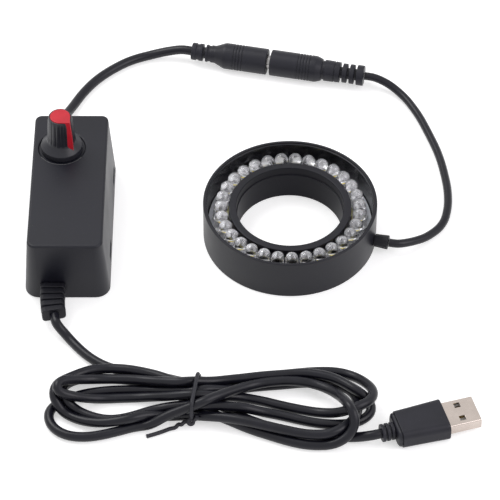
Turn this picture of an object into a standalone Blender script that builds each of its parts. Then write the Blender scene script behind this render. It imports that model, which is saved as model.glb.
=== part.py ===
"""Ring light for a microscope: a ring of clear LEDs, its dimmer box, and the cords that join them."""

import math

import bmesh
import bpy
import numpy as np
from mathutils import Matrix, Vector

# Units, clearances and fineness
MM = 0.001
DEGREE = math.pi / 180
RIGHT_ANGLE = math.pi / 2
FULL_TURN = 2 * math.pi
UP = Vector((0, 0, 1))
CLEARANCE = 0.3 * MM
OVERRUN = 1.0 * MM
MERGE_DISTANCE = 0.01 * MM
SMOOTH_ANGLE = 35 * DEGREE
RING_SEGMENTS = 72
ROUND_SEGMENTS = 24
SMALL_SEGMENTS = 12
CONNECTOR_SEGMENTS = 20
CORNER_STEPS = 4

# Layout: the ring stands at the right, the dimmer box at the left
LAYOUT_WIDTH = 132.6 * MM
RING_SETBACK = 1.6 * MM

# Ring housing: one moulded channel, open at the light side
RING_RADIUS = 33.0 * MM
RING_HEIGHT = 17.1 * MM
RING_WALL = 1.6 * MM
RIM_STEP_WIDTH = 0.5 * MM
RIM_STEP_DEPTH = 0.7 * MM
RING_FLOOR = 2.0 * MM
EDGE_CHAMFER = 0.3 * MM
BORE_RADIUS = 20.0 * MM
LIP_RADIUS = 20.4 * MM
LIP_DEPTH = 3.5 * MM
HUB_RADIUS = 23.3 * MM
HUB_HEIGHT = 14.7 * MM
LEDGE_WIDTH = 0.8 * MM
LEDGE_HEIGHT = 5.0 * MM

# LED board and the LEDs on it
BOARD_THICKNESS = 1.6 * MM
LED_COUNT = 31
LED_RADIUS = 2.5 * MM
LED_FLANGE_EXTRA = 0.1 * MM
LED_FLANGE_HEIGHT = 1.0 * MM
LED_HEIGHT = 8.6 * MM
LED_CIRCLE_RADIUS = 27.1 * MM
LED_LEAN = 8 * DEGREE
LED_FIRST_ANGLE = 5.4 * DEGREE
DOME_STEPS = 3
RESISTOR_COUNT = 8
RESISTOR_LENGTH = 2.0 * MM
RESISTOR_WIDTH = 1.25 * MM
RESISTOR_HEIGHT = 0.6 * MM

# Strain relief on the ring's outer wall
RELIEF_ANGLE = -14.5 * DEGREE
RELIEF_AXIS_HEIGHT = 4.8 * MM
RELIEF_LENGTH = 5.2 * MM
RELIEF_ROOT_RADIUS = 2.5 * MM
RELIEF_END_RADIUS = 2.8 * MM
RELIEF_NECK_RADIUS = 1.9 * MM
RELIEF_FACETS = 12

# Dimmer box: a drafted cover over a snap-in base
BOX_BASE_WIDTH = 32.0 * MM
BOX_BASE_LENGTH = 70.6 * MM
BOX_BASE_CORNER = 5.5 * MM
BOX_SIDE_DRAFT = 2.0 * MM
BOX_END_DRAFT = 0.3 * MM
BOX_TOP_CORNER = 3.2 * MM
BOX_HEIGHT = 27.4 * MM
BOX_WALL = 2.0 * MM
BOX_EDGE_ROUND = 0.8 * MM
BASE_THICKNESS = 2.0 * MM
SNAP_PLACES = (24.5 * MM, -15.0 * MM)
SNAP_LENGTH = 9.0 * MM
SNAP_WINDOW_BOTTOM = 3.2 * MM
SNAP_WINDOW_HEIGHT = 2.4 * MM
SNAP_TONGUE_THICKNESS = 1.2 * MM
SNAP_BARB_DEPTH = 0.9 * MM
POST_RADIUS = 2.0 * MM
POST_SIDE_INSET = 3.5 * MM
POST_END_INSET = 5.0 * MM

# Board in the dimmer box
DIMMER_BOARD_SIDE_GAP = 2.0 * MM
DIMMER_BOARD_END_GAP = 5.3 * MM
CAPACITOR_RADIUS = 3.15 * MM
CAPACITOR_HEIGHT = 8.0 * MM
CAPACITOR_GROOVE = 0.35 * MM
CAPACITOR_SETBACK = 14.0 * MM
TRANSISTOR_WIDTH = 6.6 * MM
TRANSISTOR_LENGTH = 6.1 * MM
TRANSISTOR_HEIGHT = 2.3 * MM
TRANSISTOR_TAB_LENGTH = 2.6 * MM
TRANSISTOR_TAB_HEIGHT = 0.8 * MM

# Potentiometer and its knob
KNOB_OFFSET_X = -3.1 * MM
KNOB_END_DISTANCE = 18.1 * MM
POINTER_ANGLE = -50 * DEGREE
RECESS_RADIUS = 9.15 * MM
RECESS_DEPTH = 0.6 * MM
POT_RADIUS = 8.0 * MM
POT_HEIGHT = 6.5 * MM
BUSHING_RADIUS = 4.3 * MM
BUSHING_HEIGHT = 4.6 * MM
NUT_ACROSS_FLATS = 11.0 * MM
NUT_HEIGHT = 2.0 * MM
SHAFT_RADIUS = 3.0 * MM
SHAFT_FLAT_DEPTH = 1.5 * MM
SHAFT_COVER = 2.7 * MM
SHAFT_RUNNING_GAP = 0.08 * MM
POT_PIN_LENGTH = 3.0 * MM
POT_PIN_WIDTH = 1.0 * MM
POT_PIN_SPACING = 5.0 * MM
KNOB_TOTAL_HEIGHT = 16.6 * MM
SKIRT_RADIUS = 8.1 * MM
SKIRT_BAND_HEIGHT = 2.6 * MM
SKIRT_TOP_HEIGHT = 4.6 * MM
KNOB_BODY_RADIUS = 5.8 * MM
KNOB_TOP_RADIUS = 4.45 * MM
KNOB_EDGE_ROUND = 0.35 * MM
FLUTE_COUNT = 18
FLUTE_DEPTH = 0.35 * MM
FLUTE_STEPS = 4
KNOB_HOLLOW_RADIUS = 6.7 * MM
KNOB_HOLLOW_HEIGHT = 3.2 * MM
CAP_RADIUS = 3.9 * MM
CAP_THICKNESS = 0.9 * MM
POINTER_WIDTH = 1.9 * MM
POINTER_PROUD = 0.7 * MM
POINTER_SINK = 1.1 * MM
POINTER_FOOT_RADIUS = 7.4 * MM

# Rubber glands at both ends of the box
GLAND_OFFSET_X = -5.1 * MM
GLAND_AXIS_HEIGHT = 5.8 * MM
GLAND_WIDTH = 9.4 * MM
GLAND_HEIGHT = 6.2 * MM
GLAND_LENGTH = 13.5 * MM
GLAND_NECK_SHRINK = 0.9 * MM
GLAND_GROOVE_DEPTH = 0.6 * MM
GLAND_GROOVES = 4
GLAND_TAPER = 0.3 * MM
GLAND_CORNER = 1.2 * MM
GLAND_CORNER_STEPS = 2
USB_GLAND_BEND = 13 * DEGREE
DC_GLAND_BEND = -6 * DEGREE

# Inline low-voltage connector
CONNECTOR_FACE_X = 25.1 * MM
CONNECTOR_FACE_Y = 88.7 * MM
CONNECTOR_YAW = -12 * DEGREE
CONNECTOR_RADIUS = 5.25 * MM
CONNECTOR_GAP = 1.5 * MM
CONNECTOR_RIB_DEPTH = 0.25 * MM
CONNECTOR_RIB_PITCH = 1.2 * MM
SOCKET_LENGTH = 31.0 * MM
SOCKET_BODY_LENGTH = 17.4 * MM
SOCKET_CONE_LENGTH = 4.0 * MM
SOCKET_BLOCK_RADIUS = 3.4 * MM
SOCKET_RIB_START = 9.6 * MM
SOCKET_RIB_COUNT = 4
NECK_RADIUS = 2.3 * MM
NECK_LENGTH = 1.3 * MM
PLUG_LENGTH = 38.0 * MM
PLUG_BODY_LENGTH = 18.6 * MM
PLUG_RIB_START = 11.2 * MM
PLUG_RIB_COUNT = 5
PLUG_SHOULDER_RADIUS = 4.3 * MM
PLUG_SHOULDER_LENGTH = 6.4 * MM
PLUG_RING_RADIUS = 4.0 * MM
PLUG_RING_LENGTH = 2.2 * MM
PLUG_RING_COUNT = 3
BARREL_RADIUS = 2.75 * MM
BARREL_BORE_RADIUS = 1.25 * MM
BARREL_LENGTH = 9.5 * MM
BARREL_ROOT = 3.0 * MM
PIN_RADIUS = 0.95 * MM
SOCKET_BORE_DEPTH = 11.0 * MM
PIN_SETBACK = 1.0 * MM

# USB plug
USB_ROOT_X = 88.2 * MM
USB_ROOT_Y = -97.8 * MM
USB_YAW = 16.4 * DEGREE
USB_BODY_LENGTH = 17.0 * MM
USB_BODY_WIDTH = 15.2 * MM
USB_BODY_HEIGHT = 8.0 * MM
USB_BODY_REAR_WIDTH = 13.6 * MM
USB_BODY_CORNER = 2.0 * MM
USB_REAR_CHAMFER = 2.0 * MM
USB_SHELL_WIDTH = 12.0 * MM
USB_SHELL_HEIGHT = 4.5 * MM
USB_SHELL_WALL = 0.3 * MM
USB_SHELL_EXPOSED = 11.75 * MM
USB_SHELL_ROOT = 3.0 * MM
USB_SHELL_CORNER = 0.6 * MM
USB_WINDOW_ALONG = 5.4 * MM
USB_WINDOW_ACROSS = 3.1 * MM
USB_WINDOW_SIZE = 2.2 * MM
USB_TONGUE_THICKNESS = 1.85 * MM
USB_TONGUE_SETBACK = 0.8 * MM
USB_BLOCK_LENGTH = 3.0 * MM
USB_RELIEF_RADIUS = 3.1 * MM
USB_RELIEF_GROOVE_RADIUS = 2.2 * MM
USB_RELIEF_RING = 1.3 * MM
USB_RELIEF_GROOVE = 0.75 * MM
USB_RELIEF_RINGS = 3

# Cords
USB_CORD_DIAMETER = 3.3 * MM
LOW_CORD_DIAMETER = 3.2 * MM
ROUTE_STEP_DIAMETERS = 2.4
CORD_BEVEL_STEPS = 2
HANK_BEVEL_STEPS = 1

# Hank: the turns lie in two layers, drawn in at the waist
HANK_TURN_POINTS = 24
HANK_TURNS = 4
HANK_START_ANGLE = 105 * DEGREE
HANK_END_ANGLE = 135 * DEGREE
HANK_CENTRE_X = 4.0 * MM
HANK_CENTRE_Y = -91.4 * MM
HANK_CENTRE_LEAN = 2.2 * MM
HANK_HALF_LENGTH = 59.0 * MM
HANK_WAIST_HALF = 10.4 * MM
HANK_BELLY = 30.0 * MM
HANK_BELLY_LEAN = 5.0 * MM
HANK_REACH_STEP = 4.3 * MM
HANK_WAIST_STEP = 5.1 * MM
HANK_BELLY_STEP = 3.8 * MM
HANK_LAYER_STEP = 3.9 * MM
HANK_CLIMB_TURNS = 0.5
WAIST_LIFT = 2.7 * MM
WAIST_LIFT_REACH = 20.0 * MM
HUMP_CENTRE = (57.0 * MM, -103.5 * MM)
HUMP_LIFT = 5.2 * MM
HUMP_FLAT = 9.0 * MM
HUMP_REACH = 30.0 * MM

# Wire tie round the waist
TIE_DIAMETER = 1.7 * MM
TIE_STEP_DIAMETERS = 1.6

# Route points of the free cords and the tie, in route units
ROUTE_UNIT = 1.0 * MM
LEAD_ROUTE = (
    (-51.4, -55.6, 4.2),
    (-46.9, -61.0, 2.4),
    (-39.5, -66.6, 1.75),
    (-32.0, -71.6, 1.75),
    (-24.0, -75.6, 1.9),
)
TAIL_ROUTE = (
    (-27.5, -74.8, 8.6),
    (-17.0, -78.6, 11.5),
    (-6.0, -83.4, 12.7),
    (3.0, -87.0, 12.8),
    (12.0, -90.8, 11.6),
    (20.0, -93.6, 8.6),
    (28.0, -95.6, 4.4),
    (35.0, -96.8, 1.9),
    (42.0, -99.8, 1.75),
    (49.0, -103.6, 1.75),
    (56.0, -106.2, 2.2),
)
DC_ROUTE = (
    (-55.0, 58.0, 3.4),
    (-51.6, 67.0, 1.8),
    (-46.0, 77.2, 1.7),
    (-37.6, 87.0, 1.7),
    (-26.9, 94.2, 1.8),
    (-16.0, 96.8, 3.4),
)
RING_ROUTE = (
    (77.6, -10.4, 3.0),
    (83.8, -7.2, 1.8),
    (89.9, -2.2, 1.7),
    (93.6, 6.0, 1.7),
    (94.8, 16.0, 1.7),
    (94.0, 27.9, 1.7),
    (91.9, 39.4, 1.7),
    (88.4, 51.5, 1.7),
    (84.1, 63.4, 1.7),
    (78.8, 72.4, 2.4),
    (72.4, 77.7, 4.2),
)
TIE_ROUTE = (
    (-19.4, -107.6, 1.1),
    (-14.0, -107.0, 1.3),
    (-8.4, -105.8, 2.2),
    (-3.4, -104.4, 3.4),
    (-1.9, -103.9, 6.0),
    (-1.6, -103.4, 10.0),
    (-1.2, -100.4, 15.2),
    (-0.6, -93.5, 16.5),
    (-0.2, -86.3, 16.2),
    (0.1, -79.8, 13.8),
    (0.3, -76.6, 8.4),
    (0.3, -76.4, 4.2),
    (0.1, -78.4, 1.3),
    (-0.4, -85.0, 1.05),
    (-1.0, -93.0, 1.05),
    (-1.4, -99.5, 1.05),
    (-1.6, -103.4, 1.05),
    (-2.9, -106.6, 1.7),
    (-4.9, -108.2, 3.6),
    (-5.8, -106.9, 5.6),
)

MODEL_NAME = "microscope_ring_light"


# Scene and finishes
def empty_scene():
    """Remove what the scene holds and make the two collections."""
    for thing in list(bpy.data.objects):
        bpy.data.objects.remove(thing, do_unlink=True)
    groups = {}
    for name in (MODEL_NAME, "cutters"):
        groups[name] = bpy.data.collections.new(name)
        bpy.context.scene.collection.children.link(groups[name])
    return groups[MODEL_NAME], groups["cutters"]


PARTS, CUTTERS = empty_scene()


def finish(name, colour, roughness, metallic=0.0, clear=0.0):
    """Principled material of one sub-part."""
    material = bpy.data.materials.new(name)
    material.use_nodes = True
    shader = material.node_tree.nodes["Principled BSDF"]
    shader.inputs["Base Color"].default_value = (*colour, 1.0)
    shader.inputs["Roughness"].default_value = roughness
    shader.inputs["Metallic"].default_value = metallic
    shader.inputs["Transmission Weight"].default_value = clear
    return material


SATIN_BLACK = finish("satin_black_plastic", (0.022, 0.022, 0.025), 0.42)
BOX_BLACK = finish("box_black_plastic", (0.035, 0.035, 0.04), 0.5)
CORD_BLACK = finish("cord_black_pvc", (0.028, 0.028, 0.032), 0.45)
RUBBER_BLACK = finish("overmould_black_pvc", (0.03, 0.03, 0.034), 0.55)
KNOB_BLACK = finish("knob_black_plastic", (0.025, 0.025, 0.027), 0.38)
KNOB_RED = finish("knob_red_plastic", (0.75, 0.03, 0.045), 0.4)
BOARD_BLACK = finish("board_black_mask", (0.012, 0.014, 0.013), 0.3)
BOARD_GREEN = finish("board_green_mask", (0.02, 0.16, 0.06), 0.35)
CLEAR_EPOXY = finish("clear_epoxy", (0.9, 0.92, 0.95), 0.05, 0.0, 0.9)
NICKEL = finish("nickel_plate", (0.72, 0.68, 0.64), 0.28, 1.0)
BRASS_PLATE = finish("bright_contact", (0.8, 0.72, 0.5), 0.25, 1.0)
STEEL = finish("turned_steel", (0.6, 0.6, 0.62), 0.3, 1.0)
CAPACITOR_SLEEVE = finish("capacitor_sleeve", (0.03, 0.05, 0.12), 0.4)
CHIP_BLACK = finish("chip_epoxy", (0.02, 0.02, 0.02), 0.6)
WHITE_PLASTIC = finish("white_insulator", (0.82, 0.82, 0.8), 0.45)
TIE_BLACK = finish("tie_black_coat", (0.02, 0.02, 0.022), 0.5)


# Making and cutting solids
def keep(piece, material):
    """File a finished piece under the model with its material."""
    PARTS.objects.link(piece)
    piece.data.materials.clear()
    piece.data.materials.append(material)
    return piece


def guide(piece):
    """File a solid that only cuts or joins other pieces."""
    CUTTERS.objects.link(piece)
    piece.hide_render = True
    piece.display_type = "WIRE"
    return piece


def from_bmesh(name, shape):
    """Object round a finished bmesh."""
    mesh = bpy.data.meshes.new(name)
    shape.to_mesh(mesh)
    shape.free()
    mesh.shade_smooth()
    mesh.set_sharp_from_angle(angle=SMOOTH_ANGLE)
    return bpy.data.objects.new(name, mesh)


def combine(piece, tool, operation):
    """Exact Boolean of one piece with a guide."""
    step = piece.modifiers.new(operation.lower(), "BOOLEAN")
    step.operation = operation
    step.solver = "EXACT"
    step.object = tool


def cut(piece, tool):
    combine(piece, tool, "DIFFERENCE")


def join(piece, tool):
    combine(piece, tool, "UNION")


def turned(name, profile, segments=ROUND_SEGMENTS, closed=False):
    """Turned solid from (radius, height) points that run down the outer side."""
    points = [Vector((radius, 0, height)) for radius, height in profile]
    edges = [(i, i + 1) for i in range(len(points) - 1)]
    if closed:
        edges.append((len(points) - 1, 0))
    mesh = bpy.data.meshes.new(name)
    mesh.from_pydata(points, edges, [])
    piece = bpy.data.objects.new(name, mesh)
    screw = piece.modifiers.new("turn", "SCREW")
    screw.angle = FULL_TURN
    screw.steps = segments
    screw.render_steps = segments
    screw.use_merge_vertices = True
    screw.merge_threshold = MERGE_DISTANCE
    screw.use_smooth_shade = True
    return piece


def block(name, size, centre):
    """Rectangular solid."""
    shape = bmesh.new()
    bmesh.ops.create_cube(shape, size=1)
    bmesh.ops.scale(shape, vec=size, verts=shape.verts)
    bmesh.ops.translate(shape, vec=centre, verts=shape.verts)
    return from_bmesh(name, shape)


def blocks(name, boxes):
    """Several rectangular solids in one guide, given as (size, centre)."""
    shape = bmesh.new()
    for size, centre in boxes:
        corners = bmesh.ops.create_cube(shape, size=1)["verts"]
        bmesh.ops.scale(shape, vec=size, verts=corners)
        bmesh.ops.translate(shape, vec=centre, verts=corners)
    return from_bmesh(name, shape)


def loft(name, sections):
    """Closed solid through like-numbered outlines, each seen anticlockwise from the far end."""
    shape = bmesh.new()
    rings = [[shape.verts.new(point) for point in section] for section in sections]
    count = len(rings[0])
    for low, high in zip(rings, rings[1:]):
        for i in range(count):
            j = (i + 1) % count
            shape.faces.new((low[i], low[j], high[j], high[i]))
    shape.faces.new(list(reversed(rings[0])))
    shape.faces.new(rings[-1])
    return from_bmesh(name, shape)


def rounded_rectangle(width, length, corner, steps=CORNER_STEPS):
    """Anticlockwise outline round the origin."""
    outline = []
    for quarter, (side_x, side_y) in enumerate(((1, 1), (-1, 1), (-1, -1), (1, -1))):
        centre_x = side_x * (width / 2 - corner)
        centre_y = side_y * (length / 2 - corner)
        for step in range(steps + 1):
            angle = RIGHT_ANGLE * (quarter + step / steps)
            outline.append((centre_x + corner * math.cos(angle), centre_y + corner * math.sin(angle)))
    return outline


def flat_section(outline, height):
    """Outline laid level at a height."""
    return [Vector((x, y, height)) for x, y in outline]


def facing_section(outline, centre, heading):
    """Outline stood square to a level heading, so that it faces that way."""
    side = heading.cross(UP)
    return [centre - side * x + UP * y for x, y in outline]


def level_direction(angle):
    return Vector((math.cos(angle), math.sin(angle), 0))


# Routes and tubes
def placed(route):
    """Route points as places in the scene."""
    return [ROUTE_UNIT * Vector(point) for point in route]


def hermite(start, start_slope, end, end_slope, share):
    """Point at a share of the way along a smooth curve between two points."""
    square, cube = share ** 2, share ** 3
    point = start * (2 * cube - 3 * square + 1) + start_slope * (cube - 2 * square + share)
    return point + end * (3 * square - 2 * cube) + end_slope * (cube - square)


def smooth_route(stops, start_heading, end_heading, spacing):
    """Points at even spacing on a smooth curve through the stops."""
    stops = [Vector(stop) for stop in stops]
    lengths = [(b - a).length for a, b in zip(stops, stops[1:])]
    slopes = [start_heading.normalized()]
    for i in range(1, len(stops) - 1):
        before = (stops[i] - stops[i - 1]) / lengths[i - 1]
        after = (stops[i + 1] - stops[i]) / lengths[i]
        slopes.append((before * lengths[i] + after * lengths[i - 1]) / (lengths[i - 1] + lengths[i]))
    slopes.append(end_heading.normalized())
    fine = [stops[0]]
    substeps = 24
    for i, length in enumerate(lengths):
        for step in range(1, substeps + 1):
            share = step / substeps
            fine.append(hermite(stops[i], slopes[i] * length, stops[i + 1], slopes[i + 1] * length, share))
    return even_points(fine, spacing)


def even_points(fine, spacing):
    """Resample a fine polyline to about the spacing, ends kept."""
    places = np.array([tuple(point) for point in fine])
    steps = np.linalg.norm(np.diff(places, axis=0), axis=1)
    run = np.concatenate(([0], np.cumsum(steps)))
    count = max(2, round(run[-1] / spacing))
    wanted = np.linspace(0, run[-1], count + 1)
    return [Vector([np.interp(place, run, places[:, axis]) for axis in range(3)]) for place in wanted]


def cord_route(start, start_heading, stops, end, end_heading, diameter, spacing):
    """Route that leaves and arrives straight for one diameter, square to what it meets."""
    start, end = Vector(start), Vector(end)
    leave = start_heading.normalized() * diameter
    arrive = end_heading.normalized() * diameter
    middle = smooth_route([start + leave, *stops, end - arrive], start_heading, end_heading, spacing)
    return [start, *middle, end]


def tube(name, points, diameter, bevel_steps, material):
    """Round tube with capped ends along a polyline."""
    curve = bpy.data.curves.new(name, "CURVE")
    curve.dimensions = "3D"
    curve.bevel_depth = diameter / 2
    curve.bevel_resolution = bevel_steps
    curve.use_fill_caps = True
    spline = curve.splines.new("POLY")
    spline.points.add(len(points) - 1)
    for control, point in zip(spline.points, points):
        control.co = (*point, 1)
    return keep(bpy.data.objects.new(name, curve), material)


def route_length(points):
    return sum((b - a).length for a, b in zip(points, points[1:]))


def least_gap(points, others, diameter, skip=0):
    """Least surface gap between two tubes' points, or of one to itself where skip is set."""
    best = math.inf
    for i, point in enumerate(points):
        for j, other in enumerate(others):
            if skip and abs(i - j) < skip:
                continue
            best = min(best, (point - other).length - diameter)
    return best


# Places that several pieces share
BOX_CENTRE = Vector(((BOX_BASE_WIDTH - LAYOUT_WIDTH) / 2, 0, 0))
RING_CENTRE = Vector((LAYOUT_WIDTH / 2 - RING_RADIUS, -RING_SETBACK, 0))
KNOB_AXIS = BOX_CENTRE + Vector((KNOB_OFFSET_X, BOX_BASE_LENGTH / 2 - KNOB_END_DISTANCE, 0))
RECESS_FLOOR = BOX_HEIGHT - RECESS_DEPTH
ROOF_UNDERSIDE = BOX_HEIGHT - BOX_WALL
POT_TOP = ROOF_UNDERSIDE - CLEARANCE
BOARD_TOP = POT_TOP - POT_HEIGHT - POT_PIN_LENGTH
BOARD_UNDERSIDE = BOARD_TOP - BOARD_THICKNESS
BOARD_HALF_WIDTH = BOX_BASE_WIDTH / 2 - BOX_WALL - DIMMER_BOARD_SIDE_GAP
BOARD_HALF_LENGTH = BOX_BASE_LENGTH / 2 - BOX_WALL - DIMMER_BOARD_END_GAP
SHAFT_TOP = BOX_HEIGHT + KNOB_TOTAL_HEIGHT - CAP_THICKNESS - SHAFT_COVER
LED_BOARD_BOTTOM = LEDGE_HEIGHT + CLEARANCE
LED_BOARD_TOP = LED_BOARD_BOTTOM + BOARD_THICKNESS
CHANNEL_INNER = HUB_RADIUS
CHANNEL_OUTER = RING_RADIUS - RING_WALL
CONNECTOR_DIRECTION = level_direction(CONNECTOR_YAW)
CONNECTOR_FACE = Vector((CONNECTOR_FACE_X, CONNECTOR_FACE_Y, CONNECTOR_RADIUS))
USB_DIRECTION = level_direction(USB_YAW)
USB_ROOT = Vector((USB_ROOT_X, USB_ROOT_Y, USB_BODY_HEIGHT / 2))
RELIEF_DIRECTION = level_direction(RELIEF_ANGLE)
GLAND_X = BOX_CENTRE.x + GLAND_OFFSET_X


def box_width(height):
    """Outer width of the drafted box at a height."""
    return BOX_BASE_WIDTH - 2 * BOX_SIDE_DRAFT * height / BOX_HEIGHT


def box_outline(height, inset=0.0):
    """Box outline at a height, drawn in by an inset on every side."""
    share = height / BOX_HEIGHT
    width = box_width(height) - 2 * inset
    length = BOX_BASE_LENGTH - 2 * BOX_END_DRAFT * share - 2 * inset
    corner = BOX_BASE_CORNER + (BOX_TOP_CORNER - BOX_BASE_CORNER) * share - inset
    return rounded_rectangle(width, length, max(corner, BOX_EDGE_ROUND))


# Ring head
def ring_housing():
    """Channel between the outer wall and the hub, with a ledge each side for the board."""
    rim_inner = CHANNEL_OUTER + RIM_STEP_WIDTH
    outer_ledge = CHANNEL_OUTER - LEDGE_WIDTH
    inner_ledge = HUB_RADIUS + LEDGE_WIDTH
    profile = [
        (rim_inner, RING_HEIGHT),
        (RING_RADIUS - EDGE_CHAMFER, RING_HEIGHT),
        (RING_RADIUS, RING_HEIGHT - EDGE_CHAMFER),
        (RING_RADIUS, EDGE_CHAMFER),
        (RING_RADIUS - EDGE_CHAMFER, 0),
        (BORE_RADIUS + EDGE_CHAMFER, 0),
        (BORE_RADIUS, EDGE_CHAMFER),
        (BORE_RADIUS, HUB_HEIGHT - LIP_DEPTH),
        (LIP_RADIUS, HUB_HEIGHT - LIP_DEPTH),
        (LIP_RADIUS, HUB_HEIGHT - EDGE_CHAMFER),
        (LIP_RADIUS + EDGE_CHAMFER, HUB_HEIGHT),
        (HUB_RADIUS - EDGE_CHAMFER, HUB_HEIGHT),
        (HUB_RADIUS, HUB_HEIGHT - EDGE_CHAMFER),
        (HUB_RADIUS, LEDGE_HEIGHT),
        (inner_ledge, LEDGE_HEIGHT),
        (inner_ledge, RING_FLOOR),
        (outer_ledge, RING_FLOOR),
        (outer_ledge, LEDGE_HEIGHT),
        (CHANNEL_OUTER, LEDGE_HEIGHT),
        (CHANNEL_OUTER, RING_HEIGHT - RIM_STEP_DEPTH),
        (rim_inner, RING_HEIGHT - RIM_STEP_DEPTH / 2),
    ]
    housing = turned("ring_housing", profile, RING_SEGMENTS, closed=True)
    housing.location = RING_CENTRE
    hole_length = RING_RADIUS - outer_ledge + 2 * OVERRUN
    hole_radius = RELIEF_NECK_RADIUS + CLEARANCE
    hole = turned("cord_hole", [(0, hole_length), (hole_radius, hole_length), (hole_radius, 0), (0, 0)])
    place_radial(hole, outer_ledge - OVERRUN)
    cut(housing, guide(hole))
    return keep(housing, SATIN_BLACK)


def place_radial(piece, radius):
    """Lay a turned piece along the cord's exit from the ring, its foot at a radius."""
    piece.rotation_euler = RELIEF_DIRECTION.to_track_quat("Z", "Y").to_euler()
    piece.location = RING_CENTRE + RELIEF_DIRECTION * radius + UP * RELIEF_AXIS_HEIGHT


def led_board():
    """Annular board on the two ledges, with its chip resistors below."""
    inner = CHANNEL_INNER + CLEARANCE
    outer = CHANNEL_OUTER - CLEARANCE
    top, bottom = LED_BOARD_TOP, LED_BOARD_BOTTOM
    profile = [(inner, top), (outer, top), (outer, bottom), (inner, bottom)]
    board = turned("led_board", profile, RING_SEGMENTS, closed=True)
    board.location = RING_CENTRE
    middle = (CHANNEL_INNER + CHANNEL_OUTER) / 2
    shape = bmesh.new()
    for i in range(RESISTOR_COUNT):
        angle = FULL_TURN * (i + 0.5) / RESISTOR_COUNT
        corners = bmesh.ops.create_cube(shape, size=1)["verts"]
        height = RESISTOR_HEIGHT + BOARD_THICKNESS / 2
        bmesh.ops.scale(shape, vec=(RESISTOR_WIDTH, RESISTOR_LENGTH, height), verts=corners)
        centre = Vector((middle, 0, LED_BOARD_BOTTOM - RESISTOR_HEIGHT + height / 2))
        bmesh.ops.translate(shape, vec=centre, verts=corners)
        bmesh.ops.rotate(shape, matrix=Matrix.Rotation(angle, 3, "Z"), verts=corners)
    resistors = from_bmesh("resistors", shape)
    resistors.location = RING_CENTRE
    join(board, guide(resistors))
    return keep(board, BOARD_BLACK)


def led_profile():
    """Half outline of a 5 mm LED: dome, body and foot flange."""
    dome_centre = LED_HEIGHT - LED_RADIUS
    points = []
    for step in range(DOME_STEPS + 1):
        angle = RIGHT_ANGLE * (1 - step / DOME_STEPS)
        points.append((LED_RADIUS * math.cos(angle), dome_centre + LED_RADIUS * math.sin(angle)))
    points[0] = (0, LED_HEIGHT)
    flange = LED_RADIUS + LED_FLANGE_EXTRA
    points += [(LED_RADIUS, LED_FLANGE_HEIGHT), (flange, LED_FLANGE_HEIGHT), (flange, 0), (0, 0)]
    return points


def leds():
    """Circle of LEDs that lean in over the hub."""
    flange = LED_RADIUS + LED_FLANGE_EXTRA
    foot = LED_BOARD_TOP + CLEARANCE + flange * math.sin(LED_LEAN)
    shared = None
    for i in range(LED_COUNT):
        angle = LED_FIRST_ANGLE + FULL_TURN * i / LED_COUNT
        name = f"led_{i + 1:02d}"
        led = turned(name, led_profile(), SMALL_SEGMENTS)
        if shared:
            bpy.data.meshes.remove(led.data)
            led = shared.copy()
            led.name = name
        led.location = RING_CENTRE + level_direction(angle) * LED_CIRCLE_RADIUS + UP * foot
        led.rotation_euler = (0, -LED_LEAN, angle)
        if shared:
            PARTS.objects.link(led)
        else:
            shared = keep(led, CLEAR_EPOXY)


def ring_strain_relief():
    """Flared sleeve with lengthwise facets, and the neck that fills the wall's hole."""
    neck_length = RING_WALL - CLEARANCE
    foot = neck_length + CLEARANCE
    top = foot + RELIEF_LENGTH
    profile = [
        (0, top),
        (RELIEF_END_RADIUS - EDGE_CHAMFER, top),
        (RELIEF_END_RADIUS, top - EDGE_CHAMFER),
        (RELIEF_ROOT_RADIUS, foot),
        (RELIEF_NECK_RADIUS, foot),
        (RELIEF_NECK_RADIUS, 0),
        (0, 0),
    ]
    relief = turned("ring_strain_relief", profile, RELIEF_FACETS)
    place_radial(relief, RING_RADIUS + CLEARANCE - foot)
    return keep(relief, RUBBER_BLACK)


# Dimmer box
def box_top_shell():
    """Drafted cover, open below, with its knob recess, cord notches and snap windows."""
    outer = [flat_section(box_outline(0), 0)]
    for share in (0, 0.5, 1):
        drop = BOX_EDGE_ROUND * (1 - math.sin(RIGHT_ANGLE * share))
        inset = BOX_EDGE_ROUND * (1 - math.cos(RIGHT_ANGLE * share))
        outer.append(flat_section(box_outline(BOX_HEIGHT - drop, inset), BOX_HEIGHT - drop))
    shell = loft("box_top_shell", outer)
    shell.location = BOX_CENTRE
    inner = [flat_section(box_outline(0, BOX_WALL), -OVERRUN)]
    inner.append(flat_section(box_outline(ROOF_UNDERSIDE, BOX_WALL), ROOF_UNDERSIDE))
    hollow = loft("box_hollow", inner)
    hollow.location = BOX_CENTRE
    cut(shell, guide(hollow))
    bushing_hole = BUSHING_RADIUS + CLEARANCE
    recess_profile = [
        (0, BOX_HEIGHT + OVERRUN),
        (RECESS_RADIUS, BOX_HEIGHT + OVERRUN),
        (RECESS_RADIUS, RECESS_FLOOR),
        (bushing_hole, RECESS_FLOOR),
        (bushing_hole, ROOF_UNDERSIDE - OVERRUN),
        (0, ROOF_UNDERSIDE - OVERRUN),
    ]
    recess = turned("knob_recess", recess_profile, 2 * ROUND_SEGMENTS)
    recess.location = KNOB_AXIS
    cut(shell, guide(recess))
    cut(shell, guide(snap_windows()))
    cut(shell, guide(gland_notches()))
    return keep(shell, BOX_BLACK)


def snap_windows():
    """Windows through both long walls for the base's barbs."""
    height = SNAP_WINDOW_BOTTOM + SNAP_WINDOW_HEIGHT / 2
    boxes = []
    for side in (-1, 1):
        for along in SNAP_PLACES:
            wall = box_width(height) / 2 - BOX_WALL / 2
            centre = BOX_CENTRE + Vector((side * wall, along, height))
            boxes.append(((2 * BOX_WALL, SNAP_LENGTH, SNAP_WINDOW_HEIGHT), centre))
    return blocks("snap_windows", boxes)


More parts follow.
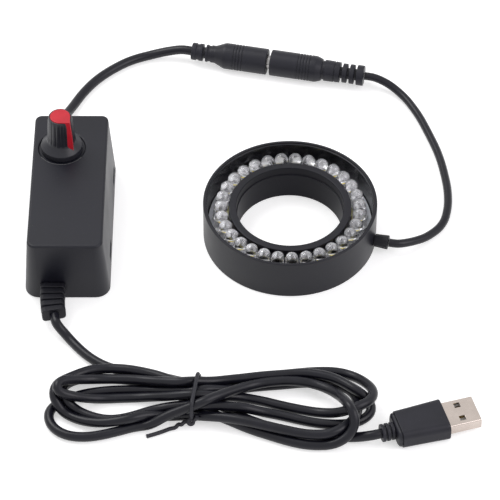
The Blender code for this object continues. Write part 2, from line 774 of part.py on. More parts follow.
def gland_notches():
    """Slots up from the lower edge of both end walls, which the glands' necks fill."""
    width = GLAND_WIDTH - 2 * GLAND_NECK_SHRINK + 2 * CLEARANCE
    top = GLAND_AXIS_HEIGHT + GLAND_HEIGHT / 2 - GLAND_NECK_SHRINK + CLEARANCE
    height = top + OVERRUN
    boxes = []
    for side in (-1, 1):
        wall = BOX_BASE_LENGTH / 2 - BOX_WALL / 2
        centre = Vector((GLAND_X, side * wall, top - height / 2))
        boxes.append(((width, 2 * BOX_WALL, height), centre))
    return blocks("gland_notches", boxes)


def box_base_cover():
    """Base plate inside the walls, with board posts, snap tongues and gland seats."""
    inset = BOX_WALL + CLEARANCE
    base = loft("box_base_cover", [
        flat_section(box_outline(0, inset), 0),
        flat_section(box_outline(BASE_THICKNESS, inset), BASE_THICKNESS),
    ])
    base.location = BOX_CENTRE
    join(base, guide(base_tongues()))
    post_top = BOARD_UNDERSIDE - CLEARANCE
    overlap = BASE_THICKNESS / 2
    shape = bmesh.new()
    for side in (-1, 1):
        for end in (-1, 1):
            across = side * (BOARD_HALF_WIDTH - POST_SIDE_INSET)
            along = end * (BOARD_HALF_LENGTH - POST_END_INSET)
            centre = BOX_CENTRE + Vector((across, along, (post_top + overlap) / 2))
            bmesh.ops.create_cone(
                shape,
                cap_ends=True,
                segments=SMALL_SEGMENTS,
                radius1=POST_RADIUS,
                radius2=POST_RADIUS,
                depth=post_top - overlap,
                matrix=Matrix.Translation(centre),
            )
    join(base, guide(from_bmesh("board_posts", shape)))
    return keep(base, BOX_BLACK)


def base_tongues():
    """Four snap tongues, each with a barb in its window."""
    window_top = SNAP_WINDOW_BOTTOM + SNAP_WINDOW_HEIGHT
    face = box_width(window_top) / 2 - BOX_WALL - CLEARANCE
    barb = face + SNAP_BARB_DEPTH + CLEARANCE
    barb_low = SNAP_WINDOW_BOTTOM + CLEARANCE
    barb_high = window_top - CLEARANCE
    back = face - SNAP_TONGUE_THICKNESS
    foot = BASE_THICKNESS / 2
    top = window_top + SNAP_TONGUE_THICKNESS
    outline = [(back, foot), (face, foot), (face, barb_low), (barb, barb_low)]
    outline += [(barb, barb_high), (face, barb_high), (face, top), (back, top)]
    half = SNAP_LENGTH / 2 - CLEARANCE
    shape = bmesh.new()
    for side in (-1, 1):
        for along in SNAP_PLACES:
            ends = []
            for end in (half, -half):
                places = [BOX_CENTRE + Vector((side * x, along + side * end, z)) for x, z in outline]
                ends.append([shape.verts.new(place) for place in places])
            add_prism(shape, *ends)
    return from_bmesh("base_tongues", shape)


def add_prism(shape, first, last):
    """Faces between two like-numbered outlines, the far one seen anticlockwise."""
    count = len(first)
    for i in range(count):
        j = (i + 1) % count
        shape.faces.new((first[i], first[j], last[j], last[i]))
    shape.faces.new(list(reversed(first)))
    shape.faces.new(last)


def gland(name, side, bend):
    """Grooved rubber boot that curves a little, with a neck through the end wall."""
    wall = BOX_BASE_LENGTH / 2
    neck_inner = wall - BOX_WALL - 2 * CLEARANCE
    start = wall + CLEARANCE
    neck_width = GLAND_WIDTH - 2 * GLAND_NECK_SHRINK
    neck_height = GLAND_HEIGHT - 2 * GLAND_NECK_SHRINK
    out = Vector((0, side, 0))
    middle = Vector((GLAND_X, 0, GLAND_AXIS_HEIGHT))
    neck = rounded_rectangle(neck_width, neck_height, GLAND_CORNER / 2, GLAND_CORNER_STEPS)
    sections = [facing_section(neck, middle + out * neck_inner, out)]
    sections.append(facing_section(neck, middle + out * start, out))
    sections += boot_sections(middle + out * start, side, bend)
    return keep(loft(name, sections), RUBBER_BLACK)


def boot_sections(root, side, bend):
    """Ribs and grooves of a boot along its bend."""
    groove = 0.5 * GLAND_LENGTH / (2 * GLAND_GROOVES + 1)
    rib = (GLAND_LENGTH - GLAND_GROOVES * groove) / (GLAND_GROOVES + 1)
    marks = []
    along = 0
    for i in range(GLAND_GROOVES + 1):
        marks += [(along, 0), (along + rib, 0)]
        along += rib
        if i < GLAND_GROOVES:
            marks += [(along, GLAND_GROOVE_DEPTH), (along + groove, GLAND_GROOVE_DEPTH)]
            along += groove
    sections = []
    for along, depth in marks:
        centre, heading = boot_place(root, side, bend, along)
        shrink = 2 * depth + GLAND_TAPER * along / GLAND_LENGTH
        width, height = GLAND_WIDTH - shrink, GLAND_HEIGHT - shrink
        outline = rounded_rectangle(width, height, GLAND_CORNER, GLAND_CORNER_STEPS)
        sections.append(facing_section(outline, centre, heading))
    return sections


def boot_place(root, side, bend, along):
    """Centre and heading of a boot at a distance from the wall; the bend grows along it."""
    share = along / GLAND_LENGTH
    turn = bend * share ** 2
    sideways = GLAND_LENGTH * math.tan(bend) * share ** 3 / 3
    out = Vector((0, side, 0))
    across = Vector((1, 0, 0))
    heading = (out * math.cos(turn) + across * math.sin(turn)).normalized()
    return root + out * along + across * sideways, heading


def gland_exit(side, bend):
    """Where the cord leaves a gland, and its heading."""
    root = Vector((GLAND_X, side * (BOX_BASE_LENGTH / 2 + CLEARANCE), GLAND_AXIS_HEIGHT))
    centre, heading = boot_place(root, side, bend, GLAND_LENGTH)
    return centre + heading * CLEARANCE, heading


# Inside the dimmer box
def dimmer_board():
    board = block(
        "dimmer_board",
        (2 * BOARD_HALF_WIDTH, 2 * BOARD_HALF_LENGTH, BOARD_THICKNESS),
        BOX_CENTRE + UP * (BOARD_UNDERSIDE + BOARD_THICKNESS / 2),
    )
    return keep(board, BOARD_GREEN)


def filter_capacitor():
    """Small can capacitor with the groove near its foot."""
    groove_low = CAPACITOR_HEIGHT / 8
    groove_high = CAPACITOR_HEIGHT / 4
    waist = CAPACITOR_RADIUS - CAPACITOR_GROOVE
    profile = [
        (0, CAPACITOR_HEIGHT),
        (CAPACITOR_RADIUS - EDGE_CHAMFER, CAPACITOR_HEIGHT),
        (CAPACITOR_RADIUS, CAPACITOR_HEIGHT - EDGE_CHAMFER),
        (CAPACITOR_RADIUS, groove_high),
        (waist, (groove_low + groove_high) / 2),
        (CAPACITOR_RADIUS, groove_low),
        (CAPACITOR_RADIUS, 0),
        (0, 0),
    ]
    can = turned("filter_capacitor", profile, SMALL_SEGMENTS)
    can.location = BOX_CENTRE + Vector((0, -CAPACITOR_SETBACK, BOARD_TOP + CLEARANCE))
    return keep(can, CAPACITOR_SLEEVE)


def driver_transistor():
    """Flat power transistor with its tab."""
    foot = BOARD_TOP + CLEARANCE
    centre = BOX_CENTRE + Vector((0, -CAPACITOR_SETBACK / 4, foot + TRANSISTOR_HEIGHT / 2))
    body = block("driver_transistor", (TRANSISTOR_WIDTH, TRANSISTOR_LENGTH, TRANSISTOR_HEIGHT), centre)
    tab_length = TRANSISTOR_TAB_LENGTH + TRANSISTOR_LENGTH / 2
    tab_centre = BOX_CENTRE + Vector((0, -CAPACITOR_SETBACK / 4, foot + TRANSISTOR_TAB_HEIGHT / 2))
    tab_centre.x += TRANSISTOR_WIDTH / 2
    tab_size = (tab_length, TRANSISTOR_LENGTH - 2 * EDGE_CHAMFER, TRANSISTOR_TAB_HEIGHT)
    join(body, guide(block("transistor_tab", tab_size, tab_centre)))
    return keep(body, CHIP_BLACK)


def potentiometer_body():
    """Round body under the roof, its threaded bushing up through the recess, and three pins."""
    bottom = POT_TOP - POT_HEIGHT
    bore = SHAFT_RADIUS + SHAFT_RUNNING_GAP
    bushing_top = POT_TOP + BUSHING_HEIGHT
    well_bottom = bottom + BOARD_THICKNESS
    profile = [
        (bore, bushing_top),
        (BUSHING_RADIUS - EDGE_CHAMFER, bushing_top),
        (BUSHING_RADIUS, bushing_top - EDGE_CHAMFER),
        (BUSHING_RADIUS, POT_TOP),
        (POT_RADIUS - EDGE_CHAMFER, POT_TOP),
        (POT_RADIUS, POT_TOP - EDGE_CHAMFER),
        (POT_RADIUS, bottom),
        (0, bottom),
        (0, well_bottom),
        (bore, well_bottom),
    ]
    body = turned("potentiometer_body", profile, ROUND_SEGMENTS, closed=True)
    body.location = KNOB_AXIS
    pin_top = bottom + BOARD_THICKNESS / 2
    pin_bottom = BOARD_TOP + CLEARANCE
    boxes = []
    for i in (-1, 0, 1):
        centre = KNOB_AXIS + Vector((i * POT_PIN_SPACING, -POT_RADIUS / 2, (pin_top + pin_bottom) / 2))
        boxes.append(((POT_PIN_WIDTH, POT_PIN_WIDTH, pin_top - pin_bottom), centre))
    join(body, guide(blocks("potentiometer_pins", boxes)))
    return keep(body, STEEL)


def potentiometer_nut():
    """Hexagon nut on the bushing, in the recess under the knob."""
    corner_radius = NUT_ACROSS_FLATS / math.sqrt(3)
    foot = RECESS_FLOOR + CLEARANCE
    top = foot + NUT_HEIGHT
    nut = turned("potentiometer_nut", [(0, top), (corner_radius, top), (corner_radius, foot), (0, foot)], 6)
    bore = BUSHING_RADIUS + CLEARANCE
    hole_top, hole_bottom = top + OVERRUN, foot - OVERRUN
    hole = turned("nut_hole", [(0, hole_top), (bore, hole_top), (bore, hole_bottom), (0, hole_bottom)])
    hole.location = KNOB_AXIS
    cut(nut, guide(hole))
    nut.location = KNOB_AXIS
    return keep(nut, STEEL)


def potentiometer_shaft():
    """Turning shaft with the flat that drives the knob."""
    bottom = POT_TOP - POT_HEIGHT + BOARD_THICKNESS + CLEARANCE
    top = SHAFT_TOP
    profile = [
        (0, top),
        (SHAFT_RADIUS - EDGE_CHAMFER, top),
        (SHAFT_RADIUS, top - EDGE_CHAMFER),
        (SHAFT_RADIUS, bottom),
        (0, bottom),
    ]
    shaft = turned("potentiometer_shaft", profile, ROUND_SEGMENTS)
    shaft.location = KNOB_AXIS
    flat_bottom = POT_TOP + BUSHING_HEIGHT + CLEARANCE
    cut(shaft, guide(flat_block("shaft_flat", flat_bottom, top + OVERRUN, 0)))
    return keep(shaft, STEEL)


def flat_block(name, bottom, top, clearance):
    """Block on the side of the shaft that its flat leaves free."""
    face = SHAFT_RADIUS - SHAFT_FLAT_DEPTH + clearance
    size = (2 * SHAFT_RADIUS, 3 * SHAFT_RADIUS, top - bottom)
    return block(name, size, KNOB_AXIS + Vector((-face - SHAFT_RADIUS, 0, (top + bottom) / 2)))


# Knob
def fluted_circle(radius, depth, height):
    """Round outline with flutes of a depth."""
    count = FLUTE_COUNT * FLUTE_STEPS
    points = []
    for i in range(count):
        angle = FULL_TURN * i / count
        wave = (1 - math.cos(FLUTE_COUNT * angle)) / 2
        reach = radius - depth * wave ** 3
        points.append(Vector((reach * math.cos(angle), reach * math.sin(angle), height)))
    return points


def knob_body():
    """Skirted knob: fluted grip, cone and band, hollow under the skirt and bored for the shaft."""
    grip_top = KNOB_TOTAL_HEIGHT - KNOB_EDGE_ROUND
    skirt_top_radius = KNOB_BODY_RADIUS + KNOB_EDGE_ROUND
    body = loft("knob_body", [
        fluted_circle(SKIRT_RADIUS, 0, CLEARANCE),
        fluted_circle(SKIRT_RADIUS, 0, SKIRT_BAND_HEIGHT),
        fluted_circle(SKIRT_RADIUS - KNOB_EDGE_ROUND, 0, SKIRT_BAND_HEIGHT + KNOB_EDGE_ROUND),
        fluted_circle(skirt_top_radius, 0, SKIRT_TOP_HEIGHT),
        fluted_circle(KNOB_BODY_RADIUS, FLUTE_DEPTH, SKIRT_TOP_HEIGHT + KNOB_EDGE_ROUND),
        fluted_circle(KNOB_TOP_RADIUS, FLUTE_DEPTH, grip_top),
        fluted_circle(KNOB_TOP_RADIUS - KNOB_EDGE_ROUND, 0, KNOB_TOTAL_HEIGHT),
    ])
    body.location = KNOB_AXIS + UP * BOX_HEIGHT
    bore = SHAFT_RADIUS + CLEARANCE
    bore_top = SHAFT_TOP + CLEARANCE
    hollow_top = BOX_HEIGHT + KNOB_HOLLOW_HEIGHT
    hollow = turned("knob_hollow", [
        (0, bore_top),
        (bore, bore_top),
        (bore, hollow_top),
        (KNOB_HOLLOW_RADIUS, hollow_top),
        (KNOB_HOLLOW_RADIUS, BOX_HEIGHT - OVERRUN),
        (0, BOX_HEIGHT - OVERRUN),
    ], ROUND_SEGMENTS)
    hollow.location = KNOB_AXIS
    flat_bottom = hollow_top + OVERRUN
    cut(hollow, guide(flat_block("bore_flat", flat_bottom, bore_top + OVERRUN, CLEARANCE)))
    cut(body, guide(hollow))
    cut(body, guide(pointer_disc("cap_recess", CLEARANCE, OVERRUN)))
    cut(body, guide(pointer_strip("pointer_channel", CLEARANCE, OVERRUN)))
    return keep(body, KNOB_BLACK)


def pointer_disc(name, gap, extra):
    """Round top of the red cap, or with a gap the recess that takes it."""
    low = KNOB_TOTAL_HEIGHT - CAP_THICKNESS - gap
    high = KNOB_TOTAL_HEIGHT + extra
    radius = CAP_RADIUS + gap
    disc = turned(name, [(0, high), (radius, high), (radius, low), (0, low)], ROUND_SEGMENTS)
    disc.location = KNOB_AXIS + UP * BOX_HEIGHT
    return disc


def pointer_strip(name, gap, extra):
    """Pointer rib from the cap down the grip to its foot on the skirt."""
    slope = (KNOB_BODY_RADIUS - KNOB_TOP_RADIUS) / (KNOB_TOTAL_HEIGHT - SKIRT_TOP_HEIGHT)
    foot_drop = (SKIRT_TOP_HEIGHT - SKIRT_BAND_HEIGHT) / (SKIRT_RADIUS - KNOB_BODY_RADIUS)
    foot = SKIRT_TOP_HEIGHT + CLEARANCE - gap
    toe = foot - (POINTER_FOOT_RADIUS - KNOB_BODY_RADIUS - KNOB_EDGE_ROUND) * foot_drop
    grip_foot = KNOB_BODY_RADIUS + POINTER_PROUD + extra
    outline = [
        (KNOB_TOP_RADIUS - POINTER_SINK - gap, KNOB_TOTAL_HEIGHT + extra),
        (KNOB_BODY_RADIUS - POINTER_SINK - gap, foot),
        (KNOB_BODY_RADIUS + KNOB_EDGE_ROUND, foot),
        (POINTER_FOOT_RADIUS + extra, toe),
        (grip_foot, foot + POINTER_PROUD + slope * extra),
        (KNOB_TOP_RADIUS + POINTER_PROUD + extra, KNOB_TOTAL_HEIGHT + extra),
    ]
    half = POINTER_WIDTH / 2 + gap
    sides = [[Vector((reach, offset, height)) for reach, height in outline] for offset in (half, -half)]
    strip = loft(name, sides)
    strip.location = KNOB_AXIS + UP * BOX_HEIGHT
    strip.rotation_euler = (0, 0, POINTER_ANGLE)
    return strip


def knob_pointer_cap():
    """Red cap and pointer in one moulding."""
    cap = pointer_disc("knob_pointer_cap", 0, 0)
    join(cap, guide(pointer_strip("pointer_rib", 0, 0)))
    return keep(cap, KNOB_RED)


# Inline connector
def ribbed_side(start, count, outer, depth, pitch):
    """Fine ribs on a turned side, as (radius, distance) points outwards from a start."""
    points = []
    for i in range(count):
        near = start + i * pitch
        groove = pitch / 3
        points += [(outer, near), (outer - depth, near), (outer - depth, near + groove), (outer, near + groove)]
    return points


def lay_along(piece, face, direction):
    """Lay a turned piece so that its height runs along a direction from a face."""
    piece.rotation_euler = direction.to_track_quat("Z", "Y").to_euler()
    piece.location = face
    return piece


def dc_socket_overmould():
    """Female half: bored face, fine ribs, cone and a two-block relief; heights run back from the face."""
    cone_end = SOCKET_BODY_LENGTH + SOCKET_CONE_LENGTH
    block_one = cone_end + (SOCKET_LENGTH - cone_end - NECK_LENGTH) * 0.45
    block_two = block_one + NECK_LENGTH
    bore = BARREL_RADIUS + CLEARANCE
    pin_bore = PIN_RADIUS + CLEARANCE
    pin_bottom = SOCKET_BORE_DEPTH + BARREL_ROOT
    outer = [(CONNECTOR_RADIUS - EDGE_CHAMFER, 0), (CONNECTOR_RADIUS, EDGE_CHAMFER)]
    outer += ribbed_side(
        SOCKET_RIB_START, SOCKET_RIB_COUNT, CONNECTOR_RADIUS, CONNECTOR_RIB_DEPTH, CONNECTOR_RIB_PITCH
    )
    outer += [
        (CONNECTOR_RADIUS, SOCKET_BODY_LENGTH),
        (SOCKET_BLOCK_RADIUS, cone_end),
        (SOCKET_BLOCK_RADIUS, block_one),
        (NECK_RADIUS, block_one),
        (NECK_RADIUS, block_two),
        (SOCKET_BLOCK_RADIUS, block_two),
        (SOCKET_BLOCK_RADIUS, SOCKET_LENGTH),
        (0, SOCKET_LENGTH),
    ]
    inner = [
        (0, pin_bottom),
        (pin_bore, pin_bottom),
        (pin_bore, SOCKET_BORE_DEPTH),
        (bore, SOCKET_BORE_DEPTH),
        (bore, 0),
    ]
    profile = list(reversed(outer)) + list(reversed(inner))
    socket = turned("dc_socket_overmould", profile, CONNECTOR_SEGMENTS, closed=True)
    return keep(lay_along(socket, CONNECTOR_FACE, -CONNECTOR_DIRECTION), RUBBER_BLACK)


def dc_socket_pin():
    """Centre contact of the socket."""
    tip = PIN_SETBACK
    root = SOCKET_BORE_DEPTH + BARREL_ROOT - CLEARANCE
    pin = turned("dc_socket_pin", [
        (0, root),
        (PIN_RADIUS, root),
        (PIN_RADIUS, tip + EDGE_CHAMFER),
        (PIN_RADIUS - EDGE_CHAMFER, tip),
        (0, tip),
    ], SMALL_SEGMENTS)
    return keep(lay_along(pin, CONNECTOR_FACE, -CONNECTOR_DIRECTION), BRASS_PLATE)


def plug_face():
    return CONNECTOR_FACE + CONNECTOR_DIRECTION * CONNECTOR_GAP


def dc_plug_overmould():
    """Male half: ribbed body, shoulder and ringed relief; heights run back from the face."""
    shoulder = PLUG_BODY_LENGTH + 2 * CONNECTOR_RIB_PITCH
    relief = shoulder + PLUG_SHOULDER_LENGTH
    pitch = (PLUG_LENGTH - relief) / PLUG_RING_COUNT
    profile = [(BARREL_RADIUS + CLEARANCE, BARREL_ROOT), (BARREL_RADIUS + CLEARANCE, 0)]
    profile += [(CONNECTOR_RADIUS - EDGE_CHAMFER, 0), (CONNECTOR_RADIUS, EDGE_CHAMFER)]
    profile += ribbed_side(
        PLUG_RIB_START, PLUG_RIB_COUNT, CONNECTOR_RADIUS, CONNECTOR_RIB_DEPTH, CONNECTOR_RIB_PITCH
    )
    profile += [
        (CONNECTOR_RADIUS, PLUG_BODY_LENGTH),
        (PLUG_SHOULDER_RADIUS, shoulder),
        (PLUG_SHOULDER_RADIUS, relief),
    ]
    for i in range(PLUG_RING_COUNT):
        start = relief + i * pitch
        ring_start = start + pitch - PLUG_RING_LENGTH
        profile += [
            (NECK_RADIUS, start),
            (NECK_RADIUS, ring_start),
            (PLUG_RING_RADIUS, ring_start),
            (PLUG_RING_RADIUS, start + pitch),
        ]
    profile += [(0, PLUG_LENGTH)]
    profile = [(0, BARREL_ROOT)] + profile
    plug = turned("dc_plug_overmould", list(reversed(profile)), CONNECTOR_SEGMENTS)
    return keep(lay_along(plug, plug_face(), CONNECTOR_DIRECTION), RUBBER_BLACK)


def dc_plug_barrel():
    """Metal barrel, seated in the plug and reaching into the socket."""
    root = BARREL_ROOT - CLEARANCE
    barrel = turned("dc_plug_barrel", [
        (BARREL_BORE_RADIUS, root),
        (BARREL_RADIUS, root),
        (BARREL_RADIUS, EDGE_CHAMFER - BARREL_LENGTH),
        (BARREL_RADIUS - EDGE_CHAMFER, -BARREL_LENGTH),
        (BARREL_BORE_RADIUS, -BARREL_LENGTH),
    ], ROUND_SEGMENTS, closed=True)
    return keep(lay_along(barrel, plug_face(), CONNECTOR_DIRECTION), NICKEL)


# USB plug
def usb_section(width, height, corner, along):
    """Rounded outline across the plug at a distance from the shell's root."""
    centre = USB_ROOT + USB_DIRECTION * along
    return facing_section(rounded_rectangle(width, height, corner), centre, USB_DIRECTION)


def usb_plug_overmould():
    """Moulded grip with a chamfered rear, a pocket for the shell and a ringed relief."""
    chamfer = USB_REAR_CHAMFER
    rear_width, rear_height = USB_BODY_REAR_WIDTH - chamfer, USB_BODY_HEIGHT - chamfer
    body = loft("usb_plug_overmould", [
        usb_section(rear_width, rear_height, USB_BODY_CORNER, -USB_BODY_LENGTH),
        usb_section(USB_BODY_REAR_WIDTH, USB_BODY_HEIGHT, USB_BODY_CORNER, chamfer / 2 - USB_BODY_LENGTH),
        usb_section(USB_BODY_WIDTH, USB_BODY_HEIGHT, USB_BODY_CORNER, -EDGE_CHAMFER),
        usb_section(USB_BODY_WIDTH - 2 * EDGE_CHAMFER, USB_BODY_HEIGHT - 2 * EDGE_CHAMFER, USB_BODY_CORNER, 0),
    ])
    rear = USB_RELIEF_RINGS * (USB_RELIEF_RING + USB_RELIEF_GROOVE)
    profile = [(0, -USB_REAR_CHAMFER), (USB_RELIEF_GROOVE_RADIUS, -USB_REAR_CHAMFER)]
    for i in range(USB_RELIEF_RINGS):
        start = i * (USB_RELIEF_RING + USB_RELIEF_GROOVE)
        ring = start + USB_RELIEF_GROOVE
        profile += [
            (USB_RELIEF_GROOVE_RADIUS, start + USB_RELIEF_GROOVE),
            (USB_RELIEF_RADIUS, ring),
            (USB_RELIEF_RADIUS, ring + USB_RELIEF_RING),
        ]
        if i < USB_RELIEF_RINGS - 1:
            profile.append((USB_RELIEF_GROOVE_RADIUS, ring + USB_RELIEF_RING))
    profile.append((0, rear))
    relief = turned("usb_relief", list(reversed(profile)), ROUND_SEGMENTS)
    lay_along(relief, USB_ROOT - USB_DIRECTION * USB_BODY_LENGTH, -USB_DIRECTION)
    join(body, guide(relief))
    pocket = loft("usb_pocket", [
        usb_section(USB_SHELL_WIDTH + 2 * CLEARANCE, USB_SHELL_HEIGHT + 2 * CLEARANCE, USB_SHELL_CORNER, along)
        for along in (-USB_SHELL_ROOT, OVERRUN)
    ])
    cut(body, guide(pocket))
    return keep(body, RUBBER_BLACK)


def usb_shell():
    """Folded metal shell with its latch windows, let into the grip."""
    root = CLEARANCE - USB_SHELL_ROOT
    shell = loft("usb_shell", [
        usb_section(USB_SHELL_WIDTH, USB_SHELL_HEIGHT, USB_SHELL_CORNER, along)
        for along in (root, USB_SHELL_EXPOSED)
    ])
    inner_corner = USB_SHELL_CORNER - USB_SHELL_WALL
    hollow = loft("usb_hollow", [
        usb_section(
            USB_SHELL_WIDTH - 2 * USB_SHELL_WALL, USB_SHELL_HEIGHT - 2 * USB_SHELL_WALL, inner_corner, along
        )
        for along in (root - OVERRUN, USB_SHELL_EXPOSED + OVERRUN)
    ])
    cut(shell, guide(hollow))
    side = UP.cross(USB_DIRECTION)
    sizes = (USB_WINDOW_SIZE, USB_WINDOW_SIZE, USB_SHELL_HEIGHT + 2 * OVERRUN)
    shape = bmesh.new()
    for across in (-USB_WINDOW_ACROSS, USB_WINDOW_ACROSS):
        corners = bmesh.ops.create_cube(shape, size=1)["verts"]
        bmesh.ops.scale(shape, vec=sizes, verts=corners)
        bmesh.ops.rotate(shape, matrix=Matrix.Rotation(USB_YAW, 3, "Z"), verts=corners)
        centre = USB_ROOT + USB_DIRECTION * USB_WINDOW_ALONG + side * across
        bmesh.ops.translate(shape, vec=centre, verts=corners)
    cut(shell, guide(from_bmesh("usb_windows", shape)))
    return keep(shell, NICKEL)


def usb_tongue():
    """Insulator: a block that fills the shell's root and the tongue along its floor."""
    gap = USB_SHELL_WALL + CLEARANCE
    width = USB_SHELL_WIDTH - 2 * gap
    height = USB_SHELL_HEIGHT - 2 * gap
    block_start = 2 * CLEARANCE - USB_SHELL_ROOT
    block_length = USB_BLOCK_LENGTH - 2 * CLEARANCE
    tongue_length = USB_SHELL_EXPOSED - USB_TONGUE_SETBACK + USB_SHELL_ROOT - 2 * CLEARANCE
    rear = block("usb_tongue", (tongue_length, width, USB_TONGUE_THICKNESS), Vector((0, 0, 0)))
    rear.location = USB_ROOT + USB_DIRECTION * (block_start + tongue_length / 2)
    rear.location.z -= height / 2 - USB_TONGUE_THICKNESS / 2
    rear.rotation_euler = (0, 0, USB_YAW)
    filler = block("usb_block", (block_length, width, height), Vector((0, 0, 0)))
    filler.location = USB_ROOT + USB_DIRECTION * (block_start + block_length / 2)
    filler.rotation_euler = (0, 0, USB_YAW)
    join(rear, guide(filler))
    return keep(rear, WHITE_PLASTIC)


# Cords
def hank_point(turn):
    """Point of the hank after a number of turns, clockwise from its start."""
    total = hank_turns()
    angle = HANK_START_ANGLE - FULL_TURN * turn
    inward = min(turn, total - turn)
    cosine, sine = math.cos(angle), math.sin(angle)
    reach = HANK_HALF_LENGTH - HANK_REACH_STEP * inward
    waist = HANK_WAIST_HALF - HANK_WAIST_STEP * inward
    belly = HANK_BELLY + HANK_BELLY_LEAN * cosine - HANK_BELLY_STEP * inward
    x = HANK_CENTRE_X + reach * cosine
    y = HANK_CENTRE_Y - HANK_CENTRE_LEAN * cosine + sine * (waist + belly * cosine ** 2)
    climb = (turn - (total - HANK_CLIMB_TURNS) / 2) / HANK_CLIMB_TURNS
    z = USB_CORD_DIAMETER / 2 + HANK_LAYER_STEP * smooth_share(climb)
    return Vector((x, y, z + waist_lift(x) + hump_lift(x, y)))


def hank_turns():
    """Turns from the start angle to the end angle, on the last lap."""
    return HANK_TURNS + (HANK_START_ANGLE - HANK_END_ANGLE) / FULL_TURN


def smooth_share(share):
    """Share from 0 to 1 that starts and stops level."""
    share = min(1, max(0, share))
    return share * share * (3 - 2 * share)


def waist_lift(x):
    """Rise over the tie where it passes under the cords."""
    return WAIST_LIFT * math.exp(-((x - HANK_CENTRE_X) / WAIST_LIFT_REACH) ** 2)


def hump_lift(x, y):
    """Rise of the turns over the tail, which leaves beneath them."""
    distance = math.hypot(x - HUMP_CENTRE[0], y - HUMP_CENTRE[1])
    return HUMP_LIFT * smooth_share((HUMP_REACH - distance) / (HUMP_REACH - HUMP_FLAT))


def hank_points():
    """Centre line of the hank, straight for one diameter at both ends."""
    count = round(HANK_TURN_POINTS * hank_turns())
    points = [hank_point(hank_turns() * i / count) for i in range(count + 1)]
    first = (points[1] - points[0]).normalized()
    last = (points[-1] - points[-2]).normalized()
    points.insert(0, points[0] - first * USB_CORD_DIAMETER)
    points.append(points[-1] + last * USB_CORD_DIAMETER)
    return points, first, last


def usb_cord():
    """Lead from the box, hank and tail to the plug."""
    hank, first, last = hank_points()
    spacing = ROUTE_STEP_DIAMETERS * USB_CORD_DIAMETER
    start, heading = gland_exit(-1, USB_GLAND_BEND)
    lead_end = hank[0] - first * CLEARANCE
    lead = cord_route(start, heading, placed(LEAD_ROUTE), lead_end, first, USB_CORD_DIAMETER, spacing)
    tail_start = hank[-1] + last * CLEARANCE
    rear = USB_BODY_LENGTH + USB_RELIEF_RINGS * (USB_RELIEF_RING + USB_RELIEF_GROOVE) + CLEARANCE
    tail_end = USB_ROOT - USB_DIRECTION * rear
    tail = cord_route(tail_start, last, placed(TAIL_ROUTE), tail_end, USB_DIRECTION, USB_CORD_DIAMETER, spacing)
    tube("usb_cord_lead", lead, USB_CORD_DIAMETER, CORD_BEVEL_STEPS, CORD_BLACK)
    tube("usb_cord_hank", hank, USB_CORD_DIAMETER, HANK_BEVEL_STEPS, CORD_BLACK)
    tube("usb_cord_tail", tail, USB_CORD_DIAMETER, CORD_BEVEL_STEPS, CORD_BLACK)
    report_cords(lead, hank, tail)


def report_cords(lead, hank, tail):
    """Print lengths, and the hank's least gap to itself and to the stretches beside it."""
    lengths = [round(route_length(points) / MM, 1) for points in (lead, hank, tail)]
    print("usb cord lengths, mm:", lengths)
    step = USB_CORD_DIAMETER / 4
    near = 12
    fine_lead, fine_hank, fine_tail = [even_points(points, step) for points in (lead, hank, tail)]
    print_gap("hank to itself", fine_hank, fine_hank, USB_CORD_DIAMETER, near)
    print_gap("hank to tail", fine_hank[:-near], fine_tail[near:], USB_CORD_DIAMETER)
    print_gap("hank to lead", fine_hank[near:], fine_lead[:-near], USB_CORD_DIAMETER)
    print_gap("tail to lead", fine_tail, fine_lead, USB_CORD_DIAMETER)


def print_gap(words, points, others, diameter, skip=0):
    print(words, "least gap, mm:", round(least_gap(points, others, diameter, skip) / MM, 2))


def dc_cord():
    """Low-voltage cord from the box round to the socket."""
    start, heading = gland_exit(1, DC_GLAND_BEND)
    end = CONNECTOR_FACE - CONNECTOR_DIRECTION * (SOCKET_LENGTH + CLEARANCE)
    route = cord_route(
        start,
        heading,
        placed(DC_ROUTE),
        end,
        CONNECTOR_DIRECTION,
        LOW_CORD_DIAMETER,
        ROUTE_STEP_DIAMETERS * LOW_CORD_DIAMETER,
    )
    print("dc cord length, mm:", round(route_length(route) / MM, 1))
    return tube("dc_cord", route, LOW_CORD_DIAMETER, CORD_BEVEL_STEPS, CORD_BLACK)


def ring_cord():
    """Cord from the ring's relief round to the plug."""
    reach = RING_RADIUS + RELIEF_LENGTH + 2 * CLEARANCE
    start = RING_CENTRE + RELIEF_DIRECTION * reach + UP * RELIEF_AXIS_HEIGHT
    end = plug_face() + CONNECTOR_DIRECTION * (PLUG_LENGTH + CLEARANCE)
    route = cord_route(
        start,
        RELIEF_DIRECTION,
        placed(RING_ROUTE),
        end,
        -CONNECTOR_DIRECTION,
        LOW_CORD_DIAMETER,
        ROUTE_STEP_DIAMETERS * LOW_CORD_DIAMETER,
    )
    print("ring cord length, mm:", round(route_length(route) / MM, 1))
    return tube("ring_cord", route, LOW_CORD_DIAMETER, CORD_BEVEL_STEPS, CORD_BLACK)


def twist_tie():
    """Coated wire round the waist, twisted together in front, with one long end."""
    stops = placed(TIE_ROUTE)
    route = smooth_route(stops, stops[1] - stops[0], stops[-1] - stops[-2], TIE_STEP_DIAMETERS * TIE_DIAMETER)
    fine = even_points(route, TIE_DIAMETER / 4)
    print_gap("tie to itself", fine, fine, TIE_DIAMETER, 16)
    return tube("twist_tie", route, TIE_DIAMETER, CORD_BEVEL_STEPS, TIE_BLACK)


